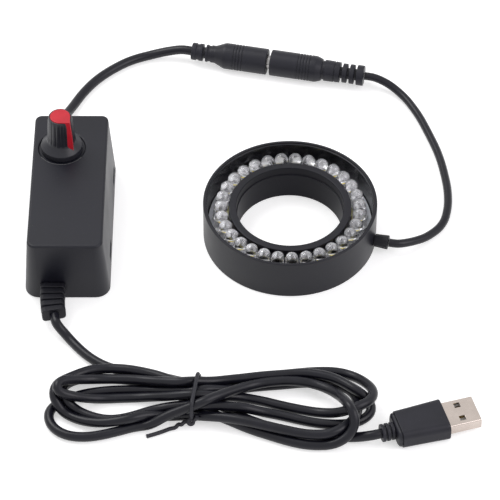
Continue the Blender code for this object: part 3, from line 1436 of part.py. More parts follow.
# The whole light
ring_housing()
led_board()
leds()
ring_strain_relief()
box_top_shell()
box_base_cover()
gland("usb_cord_gland", -1, USB_GLAND_BEND)
gland("dc_cord_gland", 1, DC_GLAND_BEND)
dimmer_board()
filter_capacitor()
driver_transistor()
potentiometer_body()
potentiometer_nut()
potentiometer_shaft()
knob_body()
knob_pointer_cap()
dc_socket_overmould()
dc_socket_pin()
dc_plug_overmould()
dc_plug_barrel()
usb_plug_overmould()
usb_shell()
usb_tongue()
usb_cord()
dc_cord()
ring_cord()
twist_tie()
bpy.context.view_layer.update()
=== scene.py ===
import math

import bmesh
import bpy
import numpy as np
from mathutils import Matrix, Vector


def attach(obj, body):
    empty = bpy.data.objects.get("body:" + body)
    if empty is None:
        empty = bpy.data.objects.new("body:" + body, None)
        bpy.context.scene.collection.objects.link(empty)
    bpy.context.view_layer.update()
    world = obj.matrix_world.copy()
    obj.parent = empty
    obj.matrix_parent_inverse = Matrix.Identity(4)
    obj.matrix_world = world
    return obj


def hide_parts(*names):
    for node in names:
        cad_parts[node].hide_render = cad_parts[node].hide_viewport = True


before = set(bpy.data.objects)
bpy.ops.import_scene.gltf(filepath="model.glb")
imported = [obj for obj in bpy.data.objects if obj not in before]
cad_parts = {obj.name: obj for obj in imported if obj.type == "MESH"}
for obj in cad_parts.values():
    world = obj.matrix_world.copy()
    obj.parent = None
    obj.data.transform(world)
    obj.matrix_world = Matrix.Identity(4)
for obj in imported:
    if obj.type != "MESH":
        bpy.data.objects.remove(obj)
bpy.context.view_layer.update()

MM = 0.001


# Camera, light and floor
# The set is a white table under large soft lamps. The camera looks down at it from the front,
# as one stands before a bench, through a long lens, so that the box and the ring hardly converge.
CAMERA_DISTANCE = 1116.67 * MM
CAMERA_ELEVATION = math.radians(46.575)
CAMERA_TARGET = Vector((18.1, -10.6, 0)) * MM
camera = bpy.data.objects.new("camera", bpy.data.cameras.new("camera"))
camera.data.lens = 211.28
camera.data.sensor_width = 36
camera.data.clip_end = 10
camera.location = CAMERA_TARGET + CAMERA_DISTANCE * Vector(
    (0, -math.cos(CAMERA_ELEVATION), math.sin(CAMERA_ELEVATION))
)
camera.rotation_euler = (math.pi / 2 - CAMERA_ELEVATION, 0, 0)
bpy.context.scene.collection.objects.link(camera)
bpy.context.scene.camera = camera
bpy.context.scene.view_settings.view_transform = "Standard"


def feed(tree, socket, value):
    """Give an entry a value, a node's first output, or the output that a (node, output) pair names."""
    if isinstance(value, bpy.types.Node):
        value = next(output for output in value.outputs if output.enabled)
    elif isinstance(value, tuple) and isinstance(value[0], bpy.types.Node):
        value = value[0].outputs[value[1]]
    if isinstance(value, bpy.types.NodeSocket):
        tree.links.new(value, socket)
    else:
        socket.default_value = value


def fill(tree, made, **entries):
    """Feed a node's entries by name."""
    for name, value in entries.items():
        feed(tree, made.inputs[name.replace("_", " ")], value)


def node(tree, kind, *feeds, **settings):
    """New node; feeds go to its shown entries in order, and settings are its properties or Named_Entries."""
    made = tree.nodes.new(kind)
    entries = {}
    for key, value in settings.items():
        if key[0].isupper():
            entries[key] = value
        else:
            setattr(made, key, value)
    shown = [socket for socket in made.inputs if socket.enabled]
    for socket, value in zip(shown, feeds):
        feed(tree, socket, value)
    fill(tree, made, **entries)
    return made


def seen_directly(tree):
    """1 where a camera, glossy or transmitted ray looks, which is where the backdrop is plain white."""
    path = node(tree, "ShaderNodeLightPath")
    seen = (path, "Is Camera Ray")
    for ray in ("Is Glossy Ray", "Is Transmission Ray"):
        seen = node(tree, "ShaderNodeMath", seen, (path, ray), operation="MAXIMUM")
    return seen


WORLD_LIGHT = 0.62
world = bpy.data.worlds.new("white_studio")
bpy.context.scene.world = world
world.use_nodes = True
tree = world.node_tree
strength = node(tree, "ShaderNodeMapRange", seen_directly(tree), To_Min=WORLD_LIGHT, To_Max=1.0)
fill(tree, tree.nodes["Background"], Color=(1, 1, 1, 1), Strength=strength)

# lamps: (name, place and aim in metres, size, watts, colour)
LAMPS = (
    ("key_lamp", (-0.45, 0.35, 0.9), (0.0, 0.0, 0.0), 0.6, 5.0, (1.0, 1.0, 1.0)),
    ("fill_lamp", (0.75, -0.35, 0.7), (0.0, 0.0, 0.0), 0.7, 4.0, (0.99, 0.95, 1.0)),
)
for name, place, aim, size, watts, colour in LAMPS:
    lamp = bpy.data.lights.new(name, "AREA")
    lamp.shape = "SQUARE"
    lamp.size = size
    lamp.energy = watts
    lamp.color = colour
    holder = bpy.data.objects.new(name, lamp)
    holder.location = place
    holder.rotation_euler = (Vector(aim) - Vector(place)).to_track_quat("-Z", "Y").to_euler()
    bpy.context.scene.collection.objects.link(holder)


def new_material(name):
    """New material with its tree and its shader."""
    made = bpy.data.materials.new(name)
    made.use_nodes = True
    return made, made.node_tree, made.node_tree.nodes["Principled BSDF"]


FLOOR_HALF = 3.0
FLOOR_DROP = 0.1 * MM
FLOOR_GLOW = 0.5
floor_mesh = bpy.data.meshes.new("floor")
floor_mesh.from_pydata(
    [(x * FLOOR_HALF, y * FLOOR_HALF, -FLOOR_DROP) for x, y in ((-1, -1), (1, -1), (1, 1), (-1, 1))],
    [],
    [(0, 1, 2, 3)],
)
floor = bpy.data.objects.new("floor", floor_mesh)
bpy.context.scene.collection.objects.link(floor)
white_table, tree, shader = new_material("white_table")
glow = node(tree, "ShaderNodeMath", seen_directly(tree), FLOOR_GLOW, operation="MULTIPLY")
fill(tree, shader, Base_Color=(0.8, 0.8, 0.8, 1), Roughness=0.9, Specular_IOR_Level=0.1,
     Emission_Color=(1, 1, 1, 1), Emission_Strength=glow)
floor_mesh.materials.append(white_table)


# USB cord
# A thin round PVC lead, extruded black with a satin skin. It leaves the box through its gland,
# is folded into a hank of four turns that lie on each other, and ends in the moulded USB plug.
def node_group(name, kind, entries, results):
    """Empty node group with entries (name, kind, value) and results (name, kind), and its entries' keys."""
    group = bpy.data.node_groups.new(name, kind)
    keys = {}
    for entry, socket_kind, value in entries:
        socket = group.interface.new_socket(name=entry, in_out="INPUT", socket_type=socket_kind)
        keys[entry] = socket.identifier
        if value is not None:
            socket.default_value = value
    for result, socket_kind in results:
        group.interface.new_socket(name=result, in_out="OUTPUT", socket_type=socket_kind)
    return group, keys, group.nodes.new("NodeGroupInput"), group.nodes.new("NodeGroupOutput")


def skin_group():
    """Moulded or extruded skin: fine grain, broad mottle, and dust that lies on what faces up."""
    group, keys, entry, result = node_group(
        "plastic_skin",
        "ShaderNodeTree",
        [
            ("Vector", "NodeSocketVector", (0, 0, 0)),
            ("Grain Scale", "NodeSocketFloat", 2600.0),
            ("Mottle Scale", "NodeSocketFloat", 70.0),
            ("Dust", "NodeSocketFloat", 0.3),
            ("Colour", "NodeSocketColor", (0.02, 0.02, 0.022, 1)),
            ("Roughness", "NodeSocketFloat", 0.45),
        ],
        [("Colour", "NodeSocketColor"), ("Roughness", "NodeSocketFloat"), ("Height", "NodeSocketFloat")],
    )
    place = (entry, "Vector")
    fine, broad = (entry, "Grain Scale"), (entry, "Mottle Scale")
    grain = node(group, "ShaderNodeTexNoise", Vector=place, Scale=fine, Detail=4.0, Roughness=0.6)
    mottle = node(group, "ShaderNodeTexNoise", Vector=place, Scale=broad, Detail=3.0, Roughness=0.5)
    specks = node(group, "ShaderNodeTexVoronoi", Vector=place, Scale=900.0, Randomness=1.0)
    dots = node(group, "ShaderNodeMapRange", specks, 0.09, 0.03)
    pick = node(group, "ShaderNodeSeparateColor", (specks, "Color"))
    rare = node(group, "ShaderNodeMapRange", pick, 0.62, 0.74)
    facing = node(group, "ShaderNodeNewGeometry")
    upward = node(group, "ShaderNodeSeparateXYZ", (facing, "Normal"))
    above = node(group, "ShaderNodeMath", (upward, "Z"), 0.0, operation="MAXIMUM")
    dusty = dots
    for mask in (rare, above, (entry, "Dust")):
        dusty = node(group, "ShaderNodeMath", dusty, mask, operation="MULTIPLY")
    tone = node(group, "ShaderNodeMapRange", mottle, 0.3, 0.7, 0.86, 1.14)
    shaded = node(group, "ShaderNodeVectorMath", (entry, "Colour"), tone, operation="SCALE")
    grey = node(group, "ShaderNodeMix", dusty, shaded, (0.3, 0.3, 0.3, 1), data_type="RGBA")
    rough = node(group, "ShaderNodeMapRange", mottle, 0.3, 0.7, -0.05, 0.05)
    total = node(group, "ShaderNodeMath", rough, (entry, "Roughness"), operation="ADD")
    duller = node(group, "ShaderNodeMath", total, dusty, operation="ADD", use_clamp=True)
    fill(group, result, Colour=grey, Roughness=duller, Height=grain)
    return group


PLASTIC_SKIN = skin_group()
BLACK_SHEEN = 0.29
SKIN_DEPTH = 0.05 * MM


def plastic(name, colour, roughness, grain=2600.0, mottle=70.0, dust=0.3, bump=0.08, attribute=None,
            specular=BLACK_SHEEN):
    """Black or coloured plastic with the shared skin; an attribute lays the skin along a swept piece."""
    made, tree, shader = new_material(name)
    if attribute:
        place = (node(tree, "ShaderNodeAttribute", attribute_name=attribute), "Vector")
    else:
        place = (node(tree, "ShaderNodeTexCoord"), "Object")
    skin = node(
        tree, "ShaderNodeGroup", place, grain, mottle, dust, (*colour, 1), roughness, node_tree=PLASTIC_SKIN,
    )
    relief = node(tree, "ShaderNodeBump", Strength=bump, Distance=SKIN_DEPTH, Height=(skin, "Height"))
    fill(tree, shader, Base_Color=(skin, "Colour"), Roughness=(skin, "Roughness"), Normal=relief,
         Specular_IOR_Level=specular)
    return made


def even_points(points, spacing):
    """Points at even spacing along a fine polyline, ends kept."""
    run = np.concatenate(([0], np.cumsum(np.linalg.norm(np.diff(points, axis=0), axis=1))))
    count = max(2, round(run[-1] / spacing))
    wanted = np.linspace(0, run[-1], count + 1)
    return np.array([np.interp(wanted, run, points[:, axis]) for axis in range(3)]).T


def smooth_points(stops, spacing, start_heading=None, end_heading=None):
    """Even points on a smooth curve through the stops."""
    stops = np.array(stops, float)
    lengths = np.linalg.norm(np.diff(stops, axis=0), axis=1)[:, None]
    steps = np.diff(stops, axis=0) / lengths
    slopes = np.empty_like(stops)
    slopes[0] = steps[0] if start_heading is None else start_heading
    slopes[-1] = steps[-1] if end_heading is None else end_heading
    slopes[1:-1] = (steps[:-1] * lengths[1:] + steps[1:] * lengths[:-1]) / (lengths[:-1] + lengths[1:])
    share = np.linspace(0, 1, 16, endpoint=False)[None, :, None]
    square, cube = share ** 2, share ** 3
    near, far = stops[:-1, None], stops[1:, None]
    leave, arrive = (slopes[:-1] * lengths)[:, None], (slopes[1:] * lengths)[:, None]
    fine = near * (2 * cube - 3 * square + 1) + leave * (cube - 2 * square + share)
    fine = fine + far * (3 * square - 2 * cube) + arrive * (cube - square)
    return even_points(np.vstack((fine.reshape(-1, 3), stops[-1:])), spacing)


def route_length(points):
    """Length of a polyline."""
    return float(np.linalg.norm(np.diff(points, axis=0), axis=1).sum())


def real_piece(tree, entry, result, geometry):
    """End a Geometry Nodes tree in real geometry that wears the material it is given."""
    real = node(tree, "GeometryNodeRealizeInstances", geometry)
    feed(tree, result.inputs[0], node(tree, "GeometryNodeSetMaterial", real, Material=(entry, "Material")))


def captured(tree, geometry, kind, name, value):
    """Keep a value on the points of a geometry."""
    keep = node(tree, "GeometryNodeCaptureAttribute")
    keep.capture_items.new(kind, name)
    feed(tree, keep.inputs[0], geometry)
    feed(tree, keep.inputs[1], value)
    return keep


def sweep_tree():
    """Tree that sweeps a round section along a polyline and stores where each point lies on the cord."""
    tree, keys, entry, result = node_group(
        "cord_sweep",
        "GeometryNodeTree",
        [
            ("Geometry", "NodeSocketGeometry", None),
            ("Radius", "NodeSocketFloat", 1.6 * MM),
            ("Sides", "NodeSocketInt", 24),
            ("Material", "NodeSocketMaterial", None),
        ],
        [("Geometry", "NodeSocketGeometry")],
    )
    line = node(tree, "GeometryNodeMeshToCurve", (entry, "Geometry"))
    along = node(tree, "GeometryNodeSplineParameter")
    keep_length = captured(tree, line, "FLOAT", "Length", (along, "Length"))
    section = node(
        tree, "GeometryNodeCurvePrimitiveCircle", Resolution=(entry, "Sides"), Radius=(entry, "Radius"),
    )
    keep_place = captured(tree, section, "VECTOR", "Place", node(tree, "GeometryNodeInputPosition"))
    swept = node(tree, "GeometryNodeCurveToMesh", keep_length, keep_place, Fill_Caps=True)
    parts = node(tree, "ShaderNodeSeparateXYZ", (keep_place, 1))
    joined = node(tree, "ShaderNodeCombineXYZ", (parts, 0), (parts, 1), (keep_length, 1))
    store = node(
        tree, "GeometryNodeStoreNamedAttribute", swept, data_type="FLOAT_VECTOR", domain="POINT",
        Name="cord_place", Value=joined,
    )
    real_piece(tree, entry, result, node(tree, "GeometryNodeSetShadeSmooth", store))
    return tree, keys


def settled(piece, name=None):
    """Plain mesh object of what a piece and its modifiers make; the piece itself goes."""
    name = name or piece.name
    bpy.context.view_layer.update()
    shown = piece.evaluated_get(bpy.context.evaluated_depsgraph_get())
    mesh = bpy.data.meshes.new_from_object(shown)
    mesh.transform(piece.matrix_world)
    mesh.name = name
    bpy.data.objects.remove(piece, do_unlink=True)
    made = bpy.data.objects.new(name, mesh)
    bpy.context.scene.collection.objects.link(made)
    return made


def made_by(built_tree, piece, name, **values):
    """Plain mesh that a Geometry Nodes tree makes of a piece, with values for its Named_Entries."""
    tree, keys = built_tree
    step = piece.modifiers.new(tree.name, "NODES")
    step.node_group = tree
    for entry, value in values.items():
        step[keys[entry.replace("_", " ")]] = value
    return settled(piece, name)


CORD_SWEEP = sweep_tree()


def swept_tube(name, points, diameter, finish, sides=24):
    """Round tube along points in metres."""
    mesh = bpy.data.meshes.new(name + "_line")
    mesh.from_pydata([tuple(point) for point in points], [(i, i + 1) for i in range(len(points) - 1)], [])
    line = bpy.data.objects.new(name + "_line", mesh)
    bpy.context.scene.collection.objects.link(line)
    return made_by(CORD_SWEEP, line, name, Radius=diameter / 2, Sides=sides, Material=finish)


def heading(yaw):
    """Level direction."""
    return Vector((math.cos(yaw), math.sin(yaw), 0))


USB_CORD = 3.6 * MM
USB_CORD_START = Vector((-54.293, -49.392, 5.8)) * MM
USB_CORD_END = Vector((65.705, -104.421, 4.0)) * MM
USB_LEAVE_YAW, USB_YAW = math.radians(-77), math.radians(16.4)
USB_DIRECTION = heading(USB_YAW)

# The hank as the photograph shows it, in the order in which the cord runs. A stop is the column
# and row of the cord's middle there, and the layer that it lies in, in cords above the floor.
PHOTO_SIZE = 500
HANK_ON_PHOTO = {
    "lead_and_first_run": (
        (62.2, 330.2, 1), (68.8, 338.8, 0.72), (77, 347.2, 0.42), (86.4, 355.2, 0.17), (95, 360.8, 0.03),
        (103.5, 365.2, 0), (114, 369, 0), (126, 371.6, 0), (140, 373.6, 0), (150, 375.2, 0),
        (160, 377, 0), (170, 379, 0), (183, 381.8, 0), (197, 383.4, 0.1), (212, 383.2, 0.1),
        (227, 381.6, 0), (242, 379.4, 0), (257, 377.4, 0), (272, 375.8, 0), (288, 374.1, 0),
    ),
    "first_right_end": (
        (303, 372.6, 0), (319, 371.7, 0), (335, 372.2, 0.1), (348, 374.8, 0.3), (358, 378.3, 0.7),
        (366, 383.2, 1.1), (371.4, 388.2, 1.4), (373.7, 393, 1.6), (373.2, 397.6, 1.7), (370, 401, 1.75),
        (364.5, 404, 1.75), (357.5, 407.2, 1.65), (349, 410.4, 1.3), (340, 412, 0.85), (330, 412.8, 0.4),
        (318, 412.3, 0.1), (305, 410.6, 0), (290, 407.6, 0), (275, 404.4, 0.1), (260, 401, 0.4),
        (247, 398.6, 0.8), (235, 396.8, 1.1), (222, 395.4, 1.3), (208, 394.2, 1.5), (197, 393.6, 1.5),
    ),
    "first_left_end": (
        (183, 394.2, 1.4), (168, 395.4, 1.1), (152, 396.6, 0.7), (136, 397.7, 0.4), (120, 398.4, 0.25),
        (104, 398.7, 0.35), (91, 398.4, 0.7), (80, 397.4, 1.2), (71.5, 395.5, 1.6), (64.6, 393.6, 1.9),
        (58.6, 391.1, 2.05), (56, 387, 2.05), (58.4, 383, 2), (64.4, 380.6, 1.85), (70.6, 379.7, 1.7),
        (78, 379.3, 1.5), (88, 379.2, 1.2), (100, 379, 1), (114, 378.9, 0.95), (130, 379.1, 0.9),
        (147, 380.1, 0.95), (162, 381.3, 1.15), (177, 382.2, 1.35), (190, 382.6, 1.2),
    ),
    "second_right_end": (
        (203, 382, 1), (216, 381.1, 0.9), (230.5, 379.7, 0.85), (245.5, 378, 0.85), (260.3, 376.3, 0.85),
        (275.3, 375.2, 0.85), (290.3, 374.2, 0.85), (303, 373.3, 0.85), (314.5, 374, 0.85),
        (324, 375.7, 0.9), (333.2, 378, 0.95), (342.4, 382, 1), (352, 388.2, 1), (361.5, 394.6, 0.9),
        (368, 399.8, 0.6), (371.6, 405, 0.25), (371.2, 410.4, 0), (367.8, 415.2, 0), (362, 419.2, 0),
        (354, 422, 0), (343, 424, 0), (330, 424.3, 0), (316, 422.9, 0), (302, 420.3, 0), (288, 417.2, 0),
        (273, 413.9, 0.1), (258, 410.9, 0.4), (243, 408.2, 0.8), (229, 406.2, 1), (215, 405, 1.05),
        (202, 404.7, 1.1),
    ),
    "second_left_end": (
        (189, 404.8, 1.05), (176, 406.4, 0.8), (163, 408.8, 0.4), (150, 411.6, 0.1), (137, 415, 0),
        (125, 418, 0), (113, 419.8, 0.05), (101, 419.6, 0.2), (90, 417.2, 0.4), (81, 413.4, 0.6),
        (73.6, 408.6, 0.8), (67.9, 403, 0.9), (64.4, 397, 0.9), (63, 391, 0.5), (64.6, 385.6, 0.15),
        (69.6, 382, 0), (77, 380, 0), (88, 378.6, 0), (102, 378.6, 0), (118, 379.6, 0), (134, 380.8, 0),
        (148, 382.2, 0), (159, 384.6, 0), (169, 389, 0), (179, 395, 0), (189, 401.6, 0), (200, 408, 0),
        (211, 413.4, 0),
    ),
    "third_right_end": (
        (222, 417.8, 0), (235, 422.5, 0), (250, 428.4, 0), (265, 433.6, 0), (280, 438.4, 0),
        (294, 442.2, 0), (307, 444.7, 0.1), (319, 445.5, 0.35), (330, 444.9, 0.75), (338, 442.4, 1.1),
        (345, 438.4, 1.5), (350, 433.4, 1.85), (353.2, 427.6, 2.05), (354.4, 420.4, 2.25),
        (352.6, 412.4, 2.5), (348.4, 405, 2.3), (342.8, 398.6, 1.8), (336, 393.2, 1.3), (328, 388.8, 1.1),
        (318.5, 385.2, 0.95), (308, 382.7, 0.95), (296, 381.2, 1), (283, 380.8, 1), (270, 381.8, 1.1),
        (258, 383.9, 1.4), (246, 386.9, 1.8), (235, 390, 2.1), (225, 393.2, 2.3), (214, 397.4, 2.4),
        (203, 401.8, 2.3),
    ),
    "third_left_end": (
        (192, 406, 2.15), (181, 410.2, 1.9), (169, 414.8, 1.6), (157, 419.2, 1.5), (145, 423.3, 1.2),
        (132, 427.2, 0.85), (119, 430.9, 0.35), (106, 434, 0.1), (94, 436.2, 0), (83, 436.9, 0),
        (72.5, 436.2, 0), (63, 433.7, 0), (55.6, 429.2, 0), (51, 424, 0), (49, 418, 0), (49.4, 412.4, 0),
        (52.4, 408, 0), (58, 404.4, 0), (65, 400.6, 0), (73.6, 396.9, 0), (84, 394.2, 0), (97, 392.1, 0),
        (110, 390.8, 0.1), (125, 390.3, 0.2), (140, 390.3, 0.3), (155, 390.5, 0.5), (170, 390.9, 0.8),
        (184, 391, 1), (197, 391, 1),
    ),
    "fourth_right_end": (
        (210, 390.7, 1), (223, 390, 0.9), (236, 388.9, 0.7), (249, 387.7, 0.4), (262, 386.4, 0.1),
        (276, 385.3, 0), (290, 384, 0), (304, 383, 0), (318, 382.8, 0), (331, 384.2, 0), (343, 387.2, 0),
        (351.4, 391.4, 0), (355.8, 396, 0), (358, 401, 0), (358, 406, 0.1), (356.6, 411.4, 0.5),
        (353.8, 416.8, 0.95), (350, 421.8, 1.05), (344.6, 426.8, 1.05), (337.4, 430.9, 1),
        (328, 433.7, 0.95), (316, 434.4, 0.85), (303, 433.4, 0.8), (288, 430.7, 0.8), (273, 427.3, 0.8),
        (258, 423.6, 0.85), (243, 420.4, 0.9), (229, 418, 0.9), (215, 416.4, 0.9), (201, 415.7, 0.85),
    ),
    "fourth_left_end": (
        (187, 415.6, 0.75), (173, 415.8, 0.6), (160, 416.6, 0.6), (147, 417.9, 0.6), (134, 419.3, 0.6),
        (120, 420.9, 0.6), (106, 422.1, 0.6), (93, 422, 0.75), (81.5, 420.4, 0.9), (71, 416.6, 1),
        (63, 411.2, 1.1), (57.9, 404.8, 1.2), (55.8, 398, 1.2), (56, 391.6, 1.15), (58.6, 386, 1.05),
        (62.8, 381.8, 1), (68.5, 378.4, 0.95), (75, 375, 0.9), (82, 372.6, 0.87), (90, 370.3, 0.87),
        (100, 368.8, 0.9), (111, 368.4, 0.9), (122, 368.8, 0.88), (133, 370, 0.87), (144, 372.2, 0.87),
        (155, 375, 0.87), (166, 378.4, 0.75),
    ),
    "last_run_and_tail": (
        (177, 382.8, 0.5), (188, 388.4, 0.2), (199, 394.2, 0), (210, 400, 0), (221, 405.6, 0),
        (232, 411.8, 0), (243, 417.6, 0), (255, 422.6, 0), (270, 427.2, 0), (286, 431, 0), (301, 434, 0),
        (316, 435.8, 0), (329, 436.8, 0), (341, 437.6, 0.1), (352, 437.6, 0.3), (361, 436.7, 0.55),
    ),
}


def on_photo(column, row, height):
    """Place at a height above the floor that the camera shows at a point of the photograph."""
    spread = camera.data.sensor_width / camera.data.lens / PHOTO_SIZE
    ray = Vector(((column - PHOTO_SIZE / 2) * spread, (PHOTO_SIZE / 2 - row) * spread, -1))
    ray.rotate(camera.rotation_euler)
    return camera.location + ray * ((height - camera.location.z) / ray.z)


# How the hank settles, a round at a time: the share of the way that a point goes back to its line
# of sight, the cord's stiffness, the sinking and the gap between strands. Strands that are near are
# looked for now and then, and a push goes a share of the way that lacks, and only so far.
SETTLING_ROUNDS, ROUNDS_PER_LOOK = 400, 8
SIGHT_PULL, STIFFNESS, SINKING, STRAND_GAP = 0.05, 0.1, 0.006 * MM, 0.15 * MM
NEAR_GAP, SAME_STRAND = 1.2 * MM, 2.6 * USB_CORD
PUSH_SHARE, MOST_LACK, MOST_PUSH = 0.35, 0.6 * MM, 0.3 * MM
TIE_UNDER, TIE_REACH = 1.5 * MM, 5 * MM
HANK_BACK, HANK_WAIST = -70 * MM, 20 * MM
NO_LENGTH = 1e-6 * MM


def pushed_apart(points, pairs, free):
    """How far each strand is pushed off the ones that it presses on, spread along the cord."""
    one, other = pairs
    between = points[one] - points[other]
    distance = np.linalg.norm(between, axis=1)
    lack = np.clip(USB_CORD + STRAND_GAP - distance, 0, MOST_LACK)
    push = between * (PUSH_SHARE * lack / distance)[:, None]
    pushed = np.zeros_like(points)
    np.add.at(pushed, one, push)
    np.add.at(pushed, other, -push)
    size = np.linalg.norm(pushed, axis=1, keepdims=True)
    pushed *= np.minimum(1, MOST_PUSH / np.maximum(size, NO_LENGTH))
    for again in range(2):
        pushed[1:-1] = pushed[:-2] / 4 + pushed[1:-1] / 2 + pushed[2:] / 4
    return pushed * free


def settle_hank(points):
    """Let a hank's strands push each other apart and sink on to each other, as seen where they were."""
    seen = points.copy()
    spacing = np.linalg.norm(np.diff(points, axis=0), axis=1).mean()
    free = np.ones((len(points), 1))
    free[:3] = free[-3:] = 0
    for turn in range(SETTLING_ROUNDS):
        if turn % ROUNDS_PER_LOOK == 0:
            distance = np.sqrt(((points[:, None] - points[None]) ** 2).sum(2))
            pairs = np.nonzero(np.triu(distance < USB_CORD + NEAR_GAP, int(SAME_STRAND / spacing)))
        move = np.zeros_like(points)
        bend = np.zeros_like(points)
        bend[1:-1] = points[2:] - 2 * points[1:-1] + points[:-2]
        move[2:-2] -= STIFFNESS * (bend[3:-1] - 2 * bend[2:-2] + bend[1:-3])
        back = seen - points
        move[:, 0] += SIGHT_PULL * back[:, 0]
        move[:, 1] += SIGHT_PULL * (back[:, 1] + back[:, 2] / math.tan(CAMERA_ELEVATION))
        move[:, 2] -= SINKING
        points = points + move * free + pushed_apart(points, pairs, free)
        at_waist = (points[:, 1] < HANK_BACK) * (abs(points[:, 0]) < HANK_WAIST)
        lowest = USB_CORD / 2 + TIE_UNDER * np.exp(-((points[:, 0] / TIE_REACH) ** 2)) * at_waist
        points[:, 2] = np.maximum(points[:, 2], lowest)
        for again in range(2):
            step = np.diff(points, axis=0)
            length = np.linalg.norm(step, axis=1, keepdims=True)
            fix = step * (1 - spacing / length) / 4
            points[:-1] += fix * free[:-1]
            points[1:] -= fix * free[1:]
    return points


def usb_cord_points():
    """The whole route: out of the gland, through the hank as the photograph shows it, into the plug."""
    leave = heading(USB_LEAVE_YAW)
    stops = [USB_CORD_START, USB_CORD_START + leave * USB_CORD]
    for stretch in HANK_ON_PHOTO.values():
        stops += [on_photo(column, row, USB_CORD * (layer + 0.5)) for column, row, layer in stretch]
    stops += [USB_CORD_END - USB_DIRECTION * USB_CORD, USB_CORD_END]
    settled_points = settle_hank(smooth_points(stops, 1.8 * MM, leave, USB_DIRECTION))
    return smooth_points(settled_points, 1.2 * MM, leave, USB_DIRECTION)


CORD_BLACK = plastic(
    "cord_black_pvc", (0.005, 0.005, 0.0095), 0.33, grain=1500.0, mottle=260.0, dust=0.25,
    bump=0.05, attribute="cord_place", specular=0.31,
)
usb_points = usb_cord_points()
usb_cord = swept_tube("usb_cord", usb_points, USB_CORD, CORD_BLACK)
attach(usb_cord, "controller")
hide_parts("usb_cord_lead", "usb_cord_hank", "usb_cord_tail")


# Low-voltage cords
# Two short lengths of round PVC cord: the thicker one from the box's rear gland to the connector's
# socket, the thinner one from the connector's plug round to the ring. Both lie on the table.
SOCKET_CORD, RING_CORD = 3.7 * MM, 3.2 * MM
DC_CORD_STOPS = (
    (-55.901, 49.398, 5.8), (-56.236, 52.58, 5.8), (-55.2, 58.6, 3.6), (-52.1, 66.6, 2.1),
    (-48.7, 73.7, 1.9), (-43.9, 81.0, 1.9), (-37.0, 88.0, 1.9), (-29.7, 93.2, 1.9), (-21.8, 96.0, 2.3),
    (-15.2, 96.6, 3.7), (-8.646, 95.873, 5.25), (-5.516, 95.208, 5.25),
)
RING_CORD_STOPS = (
    (70.864, -11.315, 4.8), (73.9, -11.75, 4.7), (77.4, -10.7, 4.1), (81.2, -8.6, 3.1), (84.8, -6.2, 2.3),
    (87.8, -3.4, 1.8), (90.3, -0.7, 1.7), (92.1, 2.3, 1.7), (94.0, 9.2, 1.7), (94.6, 18.0, 1.7),
    (93.8, 28.2, 1.7), (91.9, 39.4, 1.7), (88.4, 51.5, 1.7), (84.1, 63.4, 1.7), (78.8, 72.4, 2.4),
    (72.4, 77.7, 4.2), (67.161, 79.76, 5.25), (64.03, 80.426, 5.25),
)
dc_points = smooth_points(DC_CORD_STOPS, 1.6) * MM
dc_cord = swept_tube("dc_cord_visible", dc_points, SOCKET_CORD, CORD_BLACK)
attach(dc_cord, "controller")
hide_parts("dc_cord")
ring_points = smooth_points(RING_CORD_STOPS, 1.6) * MM
ring_cord = swept_tube("ring_cord_visible", ring_points, RING_CORD, CORD_BLACK)
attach(ring_cord, "head")
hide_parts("ring_cord")


# Dimmer box
# A small project box in black moulded plastic: a drafted cover, open below, snapped over a base
# plate whose four barbs show in windows in the long sides. A round recess takes the knob.
def outline(width, length, corner, steps=8, rear=None):
    """Anticlockwise rounded rectangle round the origin; the corners at its rear may have their own radius."""
    points = []
    for quarter, (side_x, side_y) in enumerate(((1, 1), (-1, 1), (-1, -1), (1, -1))):
        radius = rear if rear and side_y > 0 else corner
        for step in range(steps + 1):
            angle = math.pi / 2 * (quarter + step / steps)
            points.append((
                side_x * (width / 2 - radius) + radius * math.cos(angle),
                side_y * (length / 2 - radius) + radius * math.sin(angle),
            ))
    return points


def quarter_arc(steps):
    """(sine, cosine) of even turns from 0 to 90 degrees, both ends with it."""
    turns = [math.pi / 2 * step / steps for step in range(steps + 1)]
    return [(math.sin(turn), math.cos(turn)) for turn in turns]


def new_object(name, shape):
    """Object of a finished bmesh, in the scene."""
    mesh = bpy.data.meshes.new(name)
    shape.to_mesh(mesh)
    shape.free()
    made = bpy.data.objects.new(name, mesh)
    bpy.context.scene.collection.objects.link(made)
    return made


def loft(name, sections):
    """Closed solid through like-numbered sections, each seen anticlockwise from the far end."""
    shape = bmesh.new()
    rings = [[shape.verts.new(point) for point in section] for section in sections]
    count = len(rings[0])
    for low, high in zip(rings, rings[1:]):
        for i in range(count):
            j = (i + 1) % count
            shape.faces.new((low[i], low[j], high[j], high[i]))
    shape.faces.new(list(reversed(rings[0])))
    shape.faces.new(rings[-1])
    return new_object(name, shape)


def add_block(shape, size, centre, turn=0.0):
    """Add a rectangular solid to a bmesh."""
    corners = bmesh.ops.create_cube(shape, size=1)["verts"]
    bmesh.ops.scale(shape, vec=size, verts=corners)
    bmesh.ops.rotate(shape, matrix=Matrix.Rotation(turn, 3, "Z"), verts=corners)
    bmesh.ops.translate(shape, vec=centre, verts=corners)


def block(name, size, centre, turn=0.0):
    """Rectangular solid."""
    shape = bmesh.new()
    add_block(shape, size, centre, turn)
    return new_object(name, shape)


def in_mm(profile):
    """Profile whose numbers are typed in millimetres."""
    return [tuple(number * MM for number in point) for point in profile]


